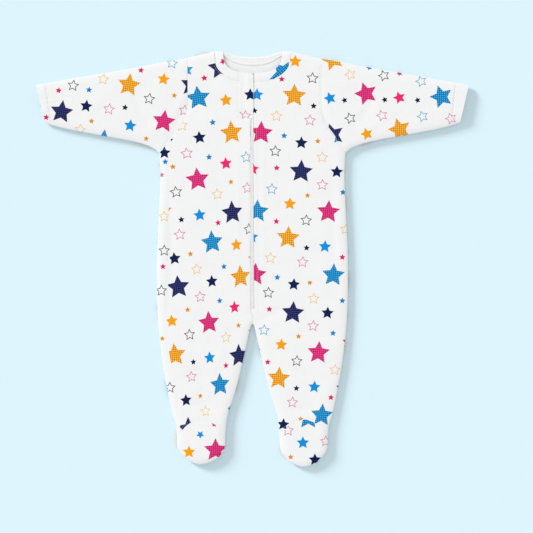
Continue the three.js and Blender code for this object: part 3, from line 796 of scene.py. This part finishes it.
def yoke(sewnEdge, centreAt, shares, foldAt, hand):
    neck = smoothCurve(sewnEdge)
    shoulder = smoothCurve([(neckHalf + lie["seamGap"], shoulderTop), armholes[hand][0]])
    count = int(np.searchsorted(shares, foldAt, side="right"))
    neckPart = awayFromNeck(along(neck, shares[:count] / shares[count - 1]))
    neckPart[0, 0] = centreAt(neckPart[0, 1])
    shoulderPart = along(shoulder, (shares[count:] - shares[count - 1]) / (1 - shares[count - 1]))
    top = np.vstack([neckPart, shoulderPart])
    roll = rollSteps(bodyGrid["shoulderRoll"]) / (shoulderTop - underarm[1])
    steps = np.concatenate([roll, np.linspace(roll[-1], 1, bodyGrid["yoke"])[1:]])
    hole = along(armholeLines[hand], steps) - np.array([lie["seamGap"] / 2, 0])
    bottomX = mix(centreAt(underarm[1]), underarm[0] - lie["seamGap"] / 2, shares)
    bottom = np.stack([bottomX, np.full(len(shares), underarm[1])], -1)
    centreY = mix(top[0, 1], underarm[1], steps)
    centre = np.stack([[centreAt(y) for y in centreY], centreY], -1)
    return patch(top, bottom, centre, hole, shares, steps)


def levelsFrom(high, low):
    count = max(2, round((high - low) / bodyGrid["rowPitch"]))
    return np.linspace(high, low, count + 1)


def levelRow(y, centreX, shares):
    left = centreX if y > crotchY else max(crossing(inseamLine, y), centreX)
    right = crossing(sideLine, y)
    return np.stack([mix(left, right, shares), np.full(len(shares), y)], -1)


def zipEdgeAt(hand, y):
    # how far a panel's zip edge lies from the centre line, on its own side
    top, low = zipEdges[hand]
    return hand * mix(top, low, float(np.clip((zipTop - y) / (zipTop - zipBottom), 0, 1)))


def frontPanel(name, hand):
    def centreAt(y):
        return mix(zipEdgeAt(hand, y), lie["seamGap"] / 2, float(smoothStep(-y, -zipBottom, -panelsMeetY)))

    shares = sharesAcross(bodyGrid["frontWidth"], bodyGrid["edge"], bodyGrid["middle"])
    upper = yoke(bandFrontSewn, centreAt, shares, bodyGrid["frontNeckShare"], hand)
    levels = np.concatenate([levelsFrom(underarm[1], crotchY)[1:], levelsFrom(crotchY, heelY)[1:]])
    lower = np.array([levelRow(y, centreAt(y), shares) for y in levels])
    steps = np.linspace(0, 1, bodyGrid["instep"] + 1)[1:]
    walk = mix(heelY, footArch[0][1], steps)
    inner = np.stack([crossing(inseamLine, walk), walk], -1)
    outer = np.stack([crossing(sideLine, walk), walk], -1)
    instep = patch(lower[-1], along(archLine, shares), inner, outer, shares, steps)
    flat = np.concatenate([upper, lower, instep])
    flat[..., 0] *= hand
    x, y = flat[..., 0], flat[..., 1]
    places = np.dstack([x, y, layOut(x, y, "front")])
    uv = printPlace(printSpots[name], x, y)
    if hand > 0:
        return sheetFrom(name, places, uv, True, lie["cloth"], [bodyCotton, reverseCotton])
    past = np.dstack([pastWrap(x, y), y])
    return sheetFrom(name, places, uv, True, lie["cloth"], [leftBodyCotton, reverseCotton], sideUvs=past)


print("Front panels")
frontLeft = frontPanel("frontLeft", -1)
frontRight = frontPanel("frontRight", 1)


def backSheet(name, flat):
    x, y = flat[..., 0], flat[..., 1]
    places = np.dstack([x, y, layOut(x, y, "back")])
    uv = printPlace(printSpots["back"], -x, y)
    return sheetFrom(name, places, uv, False, lie["cloth"], [bodyCotton, reverseCotton])


def backPanel():
    def middle(y):
        return 0.0

    shares = sharesAcross(bodyGrid["backWidth"], bodyGrid["edge"], bodyGrid["middle"], firstEdge=False)
    trunk = np.array([levelRow(y, 0, shares) for y in levelsFrom(underarm[1], crotchY)[1:]])
    neckShare = bodyGrid["backNeckShare"]
    right, left = (np.concatenate([yoke(bandBackSewn, middle, shares, neckShare, hand), trunk])
                   for hand in (1, -1))
    left = left[:, ::-1] * np.array([-1, 1])
    pieces = [backSheet("backTrunk", np.concatenate([left[:, :-1], right], axis=1))]
    legShares = sharesAcross(bodyGrid["legWidth"], bodyGrid["edge"], bodyGrid["middle"])
    leg = np.array([levelRow(y, 0, legShares) for y in levelsFrom(crotchY, heelY)])
    pieces += [backSheet("backLeg", leg * np.array([hand, 1])) for hand in (1, -1)]
    return joined("backPanel", pieces)


def joined(name, pieces):
    # one mesh from several closed sheets that meet
    b = bmesh.new()
    for piece in pieces:
        b.from_mesh(piece.data)
    materials = list(pieces[0].data.materials)
    for piece in pieces:
        bpy.data.objects.remove(piece)
    return objectFrom(name, b, materials)


print("Back")
back = backPanel()
dress(back, "back", "printed_cotton", flat=(0.26, 0.47), area=0.092, rests_on=["floor"])

tubeGrid = {
    "foldSteps": 6, "widest": 133, "folded": 0.09, "around": 42, "lowFold": (0.97, 0.98, 0.99, 0.996, 1),
    "sleeveLength": 80, "cuffLength": 12,
    "cuffThick": 1.5,  # layers of cotton
}
tubeShares = np.concatenate([
    rollSteps(tubeGrid["foldSteps"]) / tubeGrid["widest"],
    np.linspace(tubeGrid["folded"], tubeGrid["lowFold"][0], tubeGrid["around"])[1:],
    tubeGrid["lowFold"][1:],
])


def flatTube(name, top, bottom, near, far, steps, thickness, hand, spot, materials):
    first, last = along(smoothCurve(top), steps), along(smoothCurve(bottom), steps)
    flat = patch(near, far, first, last, tubeShares, steps)
    flat[..., 0] *= hand
    x, y = flat[..., 0], flat[..., 1]
    upper = np.dstack([x, y, layOut(x, y, "front")])
    lower = np.dstack([x, y, layOut(x, y, "back")])
    for edge in (0, -1):
        upper[:, edge, 2] = lower[:, edge, 2] = lie["seamHeight"]
    places = np.concatenate([upper, lower[:, ::-1][:, 1:]], axis=1)
    frontUv = printPlace(spot, x, y)
    topY = np.interp(np.abs(x), topEdge[:, 0], topEdge[:, 1])
    backUv = printPlace(spot, x, 2 * topY - y)
    both = np.concatenate([frontUv, backUv[:, ::-1][:, 1:]], axis=1)
    shared = x.shape[1] - 1
    under = both.copy()
    under[:, shared] = backUv[:, -1]

    def pick(column):
        return both if column < shared else under

    return sheetFrom(name, places, pick, True, thickness, materials, closedAround=True)


def straight(a, b):
    return mix(np.array(a, float), np.array(b, float), tubeShares[:, None])


def sleeve(name, node, hand, material):
    near = along(armholeLines[hand], tubeShares) + np.array([lie["seamGap"] / 2, 0])
    seamTop, seamBottom = cuffSeams[hand]
    top = [tuple(near[0]), *sleeveTop[1:-1], seamTop]
    bottom = [tuple(near[-1]), *sleeveBottom[-2:0:-1], seamBottom]
    steps = np.linspace(0, 1, tubeGrid["sleeveLength"])
    piece = flatTube(name, top, bottom, near, straight(top[-1], bottom[-1]), steps, lie["cloth"], hand,
                     printSpots[name], [material, reverseCotton])
    dress(piece, node, "printed_cotton", flat=(0.215, 0.178), area=0.0283, rests_on=["floor"])


def cuff(name, hand, material, spotName):
    seamTop, seamBottom = ((x + lie["seamGap"], y) for x, y in cuffSeams[hand])
    steps = np.linspace(0, 1, tubeGrid["cuffLength"])
    return flatTube(name, [seamTop, cuffTop], [seamBottom, cuffBottom], straight(seamTop, seamBottom),
                    straight(cuffTop, cuffBottom), steps, lie["cloth"] * tubeGrid["cuffThick"], hand,
                    printSpots[spotName], [material, reverseCotton])


print("Sleeves and cuffs")
sleeve("sleeveLeft", "sleeve_left", -1, leftSleeveCotton)
sleeve("sleeveRight", "sleeve_right", 1, rightSleeveCotton)
cuffLeft = cuff("cuffLeft", -1, leftSleeveCotton, "sleeveLeft")
cuffRight = cuff("cuffRight", 1, rightSleeveCotton, "sleeveRight")


band = {
    "across": 19,
    "length": 41,
    "swell": 0.5,
    "thick": 1.4,
    "backRise": 0.9,
    "backLines": ((0.38, 0.4), (0.66, 1.0)),  # pressed lines of the back band: place across it, and depth
    "lineWidth": 0.07,
}


def neckband():
    across = np.linspace(0, 1, band["across"])
    shares = np.linspace(0, 1, band["length"])

    def half(free, sewn, layer, hand):
        a, b = along(smoothCurve(free), shares), along(smoothCurve(sewn), shares)
        flat = a[:, None] + (b - a)[:, None] * across[None, :, None]
        if layer == "front":
            ends = np.array([zipEdgeAt(hand, y) for y in flat[0, :, 1]])
            flat[..., 0] += (ends - flat[0, :, 0]) * (1 - smoothStep(shares, 0, 0.2))[:, None]
        flat[..., 0] *= hand
        x, y = flat[..., 0], flat[..., 1]
        z = layOut(x, y, layer)
        if layer == "front":
            fades = 1 - smoothStep(shares, 0.75, 1)[:, None]
            swell = band["swell"] * np.sin(np.pi * across) ** 0.8
            z = z + swell * (1 - underGuard(x, y)) * (0.35 + 0.65 * fades)
        else:
            rise = smoothStep(across, 0, 0.14) * smoothStep(1 - across, 0, 0.14)
            for place, depth in band["backLines"]:
                rise = rise * (1 - depth * np.exp(-(((across - place) / band["lineWidth"]) ** 2)))
            z = z + band["backRise"] * rise * (1 - smoothStep(shares, 0.8, 1))[:, None]
        z[-1] = lie["seamHeight"]
        return np.dstack([x, y, z])

    parts = [
        half(bandFrontFree, bandFrontSewn, "front", 1),
        half(bandBackFree, bandBackSewn, "back", 1)[::-1][1:],
        half(bandBackFree, bandBackSewn, "back", -1)[1:],
        half(bandFrontFree, bandFrontSewn, "front", -1)[::-1][1:],
    ]
    places = np.concatenate(parts)
    uv = printPlace(printSpots["band"], places[..., 0], places[..., 1])
    return sheetFrom("neckStrip", places, uv, True, band["thick"], [bandCotton, reverseCotton])


print("Neckband")
neckStrip = neckband()

guardSize = {
    "left": -17, "right": 0.9, "bottom": 183, "cornerY": 203, "top": 242, "tip": 4, "thick": 1.0,
    "edgeTop": 6.35, "lift": 0.9,  # over the slider
    "sliderX": -1.5, "liftSides": (3.6, 9), "pullEnd": 198,
    "across": 19, "straight": 20, "round": 16,
}


def guardLeft(y):
    # the lower left corner is rounded
    share = max(0, (guardSize["cornerY"] - y) / (guardSize["cornerY"] - guardSize["bottom"]))
    return mix(guardSize["right"] - guardSize["tip"], guardSize["left"], math.sqrt(max(0, 1 - share * share)))


def guardHeight(x, y):
    aside = smoothStep(np.abs(x - guardSize["sliderX"]), *guardSize["liftSides"])
    below = smoothStep(guardSize["pullEnd"] - y, 0, guardSize["liftSides"][1])
    return guardSize["edgeTop"] + guardSize["lift"] * (1 - aside) * (1 - below) + 0.1 * swellAt(x, y, 8, 5)


def zipGuard():
    rounded = np.sin(np.linspace(0, np.pi / 2, guardSize["round"]))[1:]
    levels = np.concatenate([np.linspace(guardSize["top"], guardSize["cornerY"], guardSize["straight"]),
                             mix(guardSize["cornerY"], guardSize["bottom"], rounded)])
    shares = np.linspace(0, 1, guardSize["across"])
    flat = np.array([[(mix(guardLeft(y), guardSize["right"], s), y) for s in shares] for y in levels])
    x, y = flat[..., 0], flat[..., 1]
    uv = printPlace(printSpots["guard"], x, y)
    places = np.dstack([x, y, guardHeight(x, y)])
    return sheetFrom("guardTab", places, uv, True, guardSize["thick"], [guardCotton, reverseCotton])


def plainMaterial(name, colour, roughness, specular, grainScale, bumpHeight, weave=None):
    # woven tape or moulded nylon: a faint tone and a fine relief on the garment's own coordinates
    material, tree, shader = newMaterial(name)
    calc = partial(mathNode, tree)
    place = objectPlace(tree)
    height = grain = noiseNode(tree, place, grainScale)
    darker = tuple(c * 0.97 for c in colour)
    wire(tree, shader.inputs["Base Color"], mixNode(tree, "RGBA", grain, (*darker, 1), (*colour, 1)))
    if weave:
        parts = parted(tree, place)
        warp = calc("PINGPONG", parts["X"], weave)
        weft = calc("PINGPONG", calc("ADD", parts["Y"], warp), weave)
        height = calc("ADD", grain, calc("ADD", warp, weft))
    bumpInto(tree, shader, height, 0.4, bumpHeight)
    shader.inputs["Roughness"].default_value = roughness
    shader.inputs["Specular IOR Level"].default_value = specular
    return material


tapeWeave = plainMaterial("tapeWeave", (0.94, 0.94, 0.93), 0.85, 0.15, 1.5, 0.15, weave=0.3)
zipNylon = plainMaterial("zipNylon", (0.95, 0.95, 0.95), 0.38, 0.5, 2.5, 0.04)
threadCotton = plainMaterial("threadCotton", (0.84, 0.84, 0.85), 0.75, 0.2, 6.0, 0.05)


def pieceFrom(name, b, material, bevelBy=0.0):
    if bevelBy:
        bmesh.ops.bevel(b, geom=b.edges[:], offset=bevelBy * mm, offset_type="OFFSET", segments=2,
                        profile=0.5, affect="EDGES", material=-1, clamp_overlap=True)
    for face in b.faces:
        face.smooth = True
    return objectFrom(name, b, [material])


def block(b, low, high, tilt=0.0):
    # a box between two corners, in millimetres, turned about its own upright axis
    low, high = Vector(low), Vector(high)
    place = Matrix.Translation((low + high) / 2 * mm) @ Matrix.Rotation(tilt, 4, "Z")
    bmesh.ops.create_cube(b, size=1, matrix=place @ Matrix.Diagonal((*((high - low) * mm), 1)))


zipParts = {
    "tapeReach": 8.5,  # past the panels' edges, under them
    "tapeTop": 4.7,
    "tapeThick": 0.6,
    "tapeRows": 62,
    "tapeColumns": 15,
    "tapeGap": 0.1,  # under the panels
    "toothPitch": 1.35,
    "toothLength": 1.95,
    "toothWidth": 1.14,
    "toothLap": 0.12,  # past the middle of the chain
    "toothTurn": 0.12,
    "toothBevel": 0.16,
    "tapeEnd": 9,  # the tape runs on below the chain
    "toothLow": 4.75,
    "toothHigh": 5.78,
    "underGuard": 0.5,  # how much lower the chain lies from the slider upwards
    "slope": (174, 181),
    "cordAside": 1.75,  # the cords that the coils are sewn on
    "cordWide": 0.7,
    "cordLow": 0.04,  # below the teeth's underside
    "cordTop": 0.3,  # below the teeth's top
    "cordPieces": 40,
    "sliderLow": 215,
    "sliderLength": 11,
    "sliderBevel": 0.14,
}
sliderBlocks = [  # half the width, ends from the slider's lower end, underside and top
    (3.4, 0, 11, 5.45, 6.1),  # plate
    (2.0, 1, 10, 4.4, 5.45),  # body between the rows of teeth
    (1.0, 2, 8, 6.1, 6.25),  # bridge
    (2.4, -17, -1, 5.5, 6.1),  # pull
    (1.3, -2, 4, 5.6, 6.2),  # the pull's eye
]


def zipCentre(y):
    return (zipEdgeAt(1, y) - zipEdgeAt(-1, y)) / 2


def sunk(y):
    return zipParts["underGuard"] * smoothStep(y, *zipParts["slope"])


def zipTape():
    levels = np.linspace(zipTop, zipBottom - zipParts["tapeEnd"], zipParts["tapeRows"])
    across = np.linspace(0, 1, zipParts["tapeColumns"])
    reach = zipParts["tapeReach"]
    flat = np.array([[(mix(-zipEdgeAt(-1, y) - reach, zipEdgeAt(1, y) + reach, s), y) for s in across]
                     for y in levels])
    x, y = flat[..., 0], flat[..., 1]
    z = np.minimum(zipParts["tapeTop"], layOut(x, y, "front") - lie["cloth"] - zipParts["tapeGap"])
    z = np.minimum(z, zipParts["tapeTop"] - sunk(y))
    return sheetFrom("zipTape", np.dstack([x, y, z]), flat, True, zipParts["tapeThick"], [tapeWeave])


def zipTeeth():
    b = bmesh.new()
    low, high = zipBottom + 2, zipTop - 3
    half = zipParts["toothWidth"] / 2
    for k in range(int((high - low) / zipParts["toothPitch"])):
        for hand in (-1, 1):
            y = low + zipParts["toothPitch"] * (k + (0.25 if hand > 0 else 0.75))
            x = zipCentre(y)
            inner, outer = x - hand * zipParts["toothLap"], x + hand * zipParts["toothLength"]
            block(b, (min(inner, outer), y - half, zipParts["toothLow"] - sunk(y)),
                  (max(inner, outer), y + half, zipParts["toothHigh"] - sunk(y)),
                  hand * zipParts["toothTurn"])
    count = zipParts["cordPieces"]
    for hand in (-1, 1):
        for k in range(count):
            start, end = (mix(high, low, n / count) for n in (k, k + 1))
            x, wide = zipCentre((start + end) / 2) + hand * zipParts["cordAside"], zipParts["cordWide"] / 2
            block(b, (x - wide, end, zipParts["toothLow"] - zipParts["cordLow"] - sunk(start)),
                  (x + wide, start, zipParts["toothHigh"] - zipParts["cordTop"] - sunk(start)))
    return pieceFrom("zipTeeth", b, zipNylon, zipParts["toothBevel"])


def zipSlider():
    b = bmesh.new()
    low = zipParts["sliderLow"]
    x = zipCentre(low + zipParts["sliderLength"])
    for half, start, end, under, top in sliderBlocks:
        block(b, (x - half, low + start, under), (x + half, low + end, top))
    return pieceFrom("zipSlider", b, zipNylon, zipParts["sliderBevel"])


print("Zip")
guardTab = zipGuard()
tape = zipTape()
dress(tape, "zip_tape", "zip_tape_cloth", flat=(0.0215, 0.311), rests_on=["backPanel"])
dress(zipTeeth(), "zip_chain", "zip_plastic")
dress(zipSlider(), "zip_slider", "zip_plastic")


toeCap = {
    "corner": 0.19,  # share of the toe's edge that is one side
    "middle": 26, "rows": 22, "edgeRows": 10, "edgeFrom": 0.8,
    "leftLength": 0.92,  # the left toe is a little shorter
}


def footCap(name, layer, hand, spotName, topLine):
    shares = sharesAcross(bodyGrid["footWidth"], bodyGrid["edge"], toeCap["middle"])
    corner = toeCap["corner"]
    bottom = along(toeLine, mix(1 - corner, corner, shares))
    top = topLine(shares)
    edgeFrom = toeCap["edgeFrom"]
    edgeSteps = np.sin(np.linspace(0, np.pi / 2, toeCap["edgeRows"]))[1:]
    steps = np.concatenate([np.linspace(0, edgeFrom, toeCap["rows"]), edgeFrom + (1 - edgeFrom) * edgeSteps])

    def edgeWalk(line, start, fromShare, toShare):
        run = walked(toeLine)[-1]
        legRun = max(0, start[1] - toe[0][1])
        toeRun = abs(toShare - fromShare) * run
        out = []
        for t in steps:
            gone = t * (legRun + toeRun)
            if gone < legRun:
                out.append((crossing(line, start[1] - gone), start[1] - gone))
            else:
                out.append(tuple(along(toeLine, [mix(fromShare, toShare, (gone - legRun) / toeRun)])[0]))
        return np.array(out)

    first = edgeWalk(inseamLine, top[0], 1, 1 - corner)
    last = edgeWalk(sideLine, top[-1], 0, corner)
    first[0], last[0] = top[0], top[-1]
    flat = patch(top, bottom, first, last, shares, steps)
    flat[..., 0] *= hand
    x, y = flat[..., 0], flat[..., 1]
    z = layOut(x, y, layer)
    if hand < 0:
        y = np.where(y < toe[0][1], toe[0][1] + (y - toe[0][1]) * toeCap["leftLength"], y)
    places = np.dstack([x, y, z])
    uv = printPlace(printSpots[spotName], x if layer == "front" else -x, y)
    return sheetFrom(name, places, uv, layer == "front", lie["cloth"], [footCotton, reverseCotton])


def archTop(shares):
    return along(archLine, shares) - np.array([0, lie["seamGap"] / 4])


def heelTop(shares):
    y = heelY - lie["seamGap"]
    x = mix(crossing(inseamLine, y), crossing(sideLine, y), shares)
    return np.stack([x, np.full(len(shares), y)], -1)


print("Feet")
hands = {-1: "Left", 1: "Right"}
footTops = {}
for hand, label in hands.items():
    footTops[hand] = footCap("footTop" + label, "front", hand, "foot" + label, archTop)
    under = footCap("sole" + label, "back", hand, "sole" + label, heelTop)
    dress(under, "sole_" + label.lower(), "printed_cotton", flat=(0.075, 0.088), area=0.0055,
          rests_on=["floor"])

stitch = {"pitch": 2.9, "length": 1.9, "width": 0.34, "above": 0.1, "from": 0.5, "towards": 0.9}
stitchRows = {  # how far the stitching lies from each seam
    "zip": {-1: {"top": 181, "aside": 1.9}, 1: {"top": 228, "aside": 4.6}},
    "zipEnd": -74,
    "zipSteps": 90,
    "armhole": 2.4,
    "arch": 2.2,
    "neck": 2.0,
    "backNeck": 4.6,
    "backNeckLift": 0.35,
    "backNeckShare": 0.72,  # of the band's edge, from the middle
    "cuff": (-2.0, 2.2),
    "cuffEnds": (0.06, 0.94),
    "guard": (2.2, 2.0),  # along the side and round the corner
    "guardTop": 238,
    "guardCorner": (202, 183.5),
}
# The seams' points that carry stitches, away from where seams meet.
stitched = {"neck": slice(12, -26), "armhole": slice(10, -8), "arch": slice(8, -8)}


def stitchLine(b, line, heightAt):
    # short stitches laid end to end along a line, each a small flattened ball
    count = int(walked(line)[-1] / stitch["pitch"])
    places = along(line, (np.arange(count) + stitch["from"]) / count)
    ahead = along(line, np.minimum((np.arange(count) + stitch["towards"]) / count, 1))
    heights = heightAt(places[:, 0], places[:, 1])
    aheadHeights = heightAt(ahead[:, 0], ahead[:, 1])
    for (x, y), (x1, y1), z, z1 in zip(places, ahead, heights, aheadHeights):
        run = Vector((x1 - x, y1 - y, z1 - z))
        turn = run.to_track_quat("X", "Z").to_matrix().to_4x4()
        place = Matrix.Translation(Vector((x, y, z + stitch["above"])) * mm) @ turn
        half, thin = stitch["length"] / 2 * mm, stitch["width"] / 2 * mm
        size = Matrix.Diagonal((half, thin, thin, 1))
        bmesh.ops.create_icosphere(b, subdivisions=1, radius=1, matrix=place @ size)


def frontHeight(x, y):
    return layOut(x, y, "front")


def backBandHeight(x, y):
    return layOut(x, y, "back") + stitchRows["backNeckLift"]


def stitchPiece(name, lines, heightAt=frontHeight):
    b = bmesh.new()
    for line in lines:
        stitchLine(b, np.array(line, float), heightAt)
    made = pieceFrom(name, b, threadCotton)
    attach(made, "root")
    return made


def offsetLine(line, by):
    # a line moved sideways, to its left where by is positive
    run = np.gradient(line, axis=0)
    normal = np.stack([-run[:, 1], run[:, 0]], -1) / np.maximum(np.linalg.norm(run, axis=1), 1e-9)[:, None]
    return line + normal * by


def sided(line, hand):
    return np.asarray(line, float) * np.array([hand, 1])


def panelStitches(hand):
    # beside the zip, inside the armhole and above the arched seam
    row = stitchRows["zip"][hand]
    levels = np.linspace(row["top"], stitchRows["zipEnd"], stitchRows["zipSteps"])
    zipSide = np.stack([[hand * (zipEdgeAt(hand, y) + row["aside"]) for y in levels], levels], -1)
    hole = offsetLine(armholeLines[hand][stitched["armhole"]], -stitchRows["armhole"])
    arch = offsetLine(archLine[stitched["arch"]], stitchRows["arch"])
    return [zipSide, sided(hole, hand), sided(arch, hand)]


def cuffStitches(hand):
    top, low = (np.array(p, float) for p in cuffSeams[hand])
    line = mix(top, low, np.linspace(*stitchRows["cuffEnds"], 30)[:, None])
    return [sided(line + np.array([aside, 0]), hand) for aside in stitchRows["cuff"]]


def guardStitchLine():
    sideIn, lowIn = stitchRows["guard"]
    line = [(guardLeft(y) + sideIn, y) for y in np.linspace(stitchRows["guardTop"], guardSize["cornerY"], 20)]
    furthest = guardSize["right"] - guardSize["tip"]
    corner = np.linspace(*stitchRows["guardCorner"], 14)
    return line + [(min(guardLeft(y) + lowIn, furthest), y + lowIn) for y in corner]


print("Stitching")
below = offsetLine(smoothCurve(bandFrontSewn)[stitched["neck"]], -stitchRows["neck"])
neckLines = [sided(below, 1), sided(below, -1)]
backLine = along(smoothCurve(bandBackFree), np.linspace(0, stitchRows["backNeckShare"], 40))
backLine = backLine - np.array([0, stitchRows["backNeck"]])
frontStitches, cuffRows = {}, {}
for hand, label in hands.items():
    frontStitches[hand] = stitchPiece(label.lower() + "FrontStitches", panelStitches(hand))
    cuffRows[hand] = stitchPiece(label.lower() + "CuffStitches", cuffStitches(hand))
neckStitches = stitchPiece("neckStitches", neckLines)
backNeckStitches = stitchPiece("backNeckStitches", [sided(backLine, 1), sided(backLine, -1)], backBandHeight)
guardStitches = stitchPiece("guardStitches", [guardStitchLine()], guardHeight)

frontCut = {"flat": (0.132, 0.49), "area": 0.0495, "rests_on": ["backPanel"]}
dress(frontLeft, "front_left", "printed_cotton", with_pieces=[frontStitches[-1]], **frontCut)
dress(frontRight, "front_right", "printed_cotton", with_pieces=[frontStitches[1]], **frontCut)
dress(neckStrip, "neckband", "printed_cotton", flat=(0.013, 0.22), rests_on=["frontLeft", "frontRight"],
      with_pieces=[neckStitches, backNeckStitches])
dress(guardTab, "zip_guard", "printed_cotton", flat=(0.018, 0.06), rests_on=["frontLeft"],
      with_pieces=[guardStitches])
dress(cuffLeft, "cuff_left", "printed_cotton", flat=(0.108, 0.026), area=0.0013, rests_on=["floor"],
      with_pieces=[cuffRows[-1]])
dress(cuffRight, "cuff_right", "printed_cotton", flat=(0.108, 0.034), area=0.0018, rests_on=["floor"],
      with_pieces=[cuffRows[1]])
for hand, label in hands.items():
    dress(footTops[hand], "foot_top_" + label.lower(), "printed_cotton", flat=(0.07, 0.065), area=0.0033,
          rests_on=["sole" + label])

print("Floor, light and camera")
floorLook = {"reach": 3, "height": -0.4 * mm, "grain": 6, "roughness": 0.9, "specular": 0.1,
             "dark": (0.735, 0.915, 1.0, 1), "pale": (0.755, 0.935, 1.0, 1)}


def floorMaterial():
    material, tree, shader = newMaterial("paleFloor")
    grain = noiseNode(tree, tree.nodes.new("ShaderNodeTexCoord").outputs["Object"], floorLook["grain"])
    colour = mixNode(tree, "RGBA", grain, floorLook["dark"], floorLook["pale"])
    wire(tree, shader.inputs["Base Color"], colour)
    shader.inputs["Roughness"].default_value = floorLook["roughness"]
    shader.inputs["Specular IOR Level"].default_value = floorLook["specular"]
    return material


b = bmesh.new()
bmesh.ops.create_grid(b, x_segments=2, y_segments=2, size=floorLook["reach"],
                      matrix=Matrix.Translation((0, 0, floorLook["height"])))
floor = objectFrom("floor", b, [floorMaterial()])

studio = {
    "frameWidth": 0.693,
    "centre": (0.0182, -0.00975),
    "cameraHeight": 3.2,
    "lightTurn": 142,  # where the light comes from, degrees from +X, anticlockwise seen from above
    "skyStrength": 0.7,
}
# A higher light for the garment, a low one for the shadow beside it: rise and softness in degrees.
lights = {
    "clothLight": {"rise": 46, "softness": 30, "flatStrength": 0.93},
    "shadowLight": {"rise": 15.5, "softness": 12, "flatStrength": 0.9},
}
camera = bpy.data.objects.new("camera", bpy.data.cameras.new("camera"))
camera.data.lens = camera.data.sensor_width * studio["cameraHeight"] / studio["frameWidth"]
camera.location = (*studio["centre"], studio["cameraHeight"])
camera.data.clip_end = 20
bpy.context.scene.collection.objects.link(camera)
bpy.context.scene.camera = camera


def sunLight(name):
    rise, turn = math.radians(lights[name]["rise"]), math.radians(studio["lightTurn"])
    made = bpy.data.objects.new(name, bpy.data.lights.new(name, "SUN"))
    made.data.energy = lights[name]["flatStrength"] / math.sin(rise)
    made.data.angle = math.radians(lights[name]["softness"])
    towards = Vector((math.cos(turn) * math.cos(rise), math.sin(turn) * math.cos(rise), math.sin(rise)))
    made.rotation_euler = towards.to_track_quat("Z", "Y").to_euler()
    bpy.context.scene.collection.objects.link(made)
    lit = bpy.data.collections.new(name + "Falls")
    lit.objects.link(floor)
    made.light_linking.receiver_collection = lit
    return lit


sunLight("shadowLight")
sunLight("clothLight").collection_objects[0].light_linking.link_state = "EXCLUDE"

world = bpy.data.worlds.new("studio")
world.use_nodes = True
world.node_tree.nodes["Background"].inputs["Color"].default_value = (1, 1, 1, 1)
world.node_tree.nodes["Background"].inputs["Strength"].default_value = studio["skyStrength"]
bpy.context.scene.world = world
bpy.context.scene.view_settings.view_transform = "Standard"
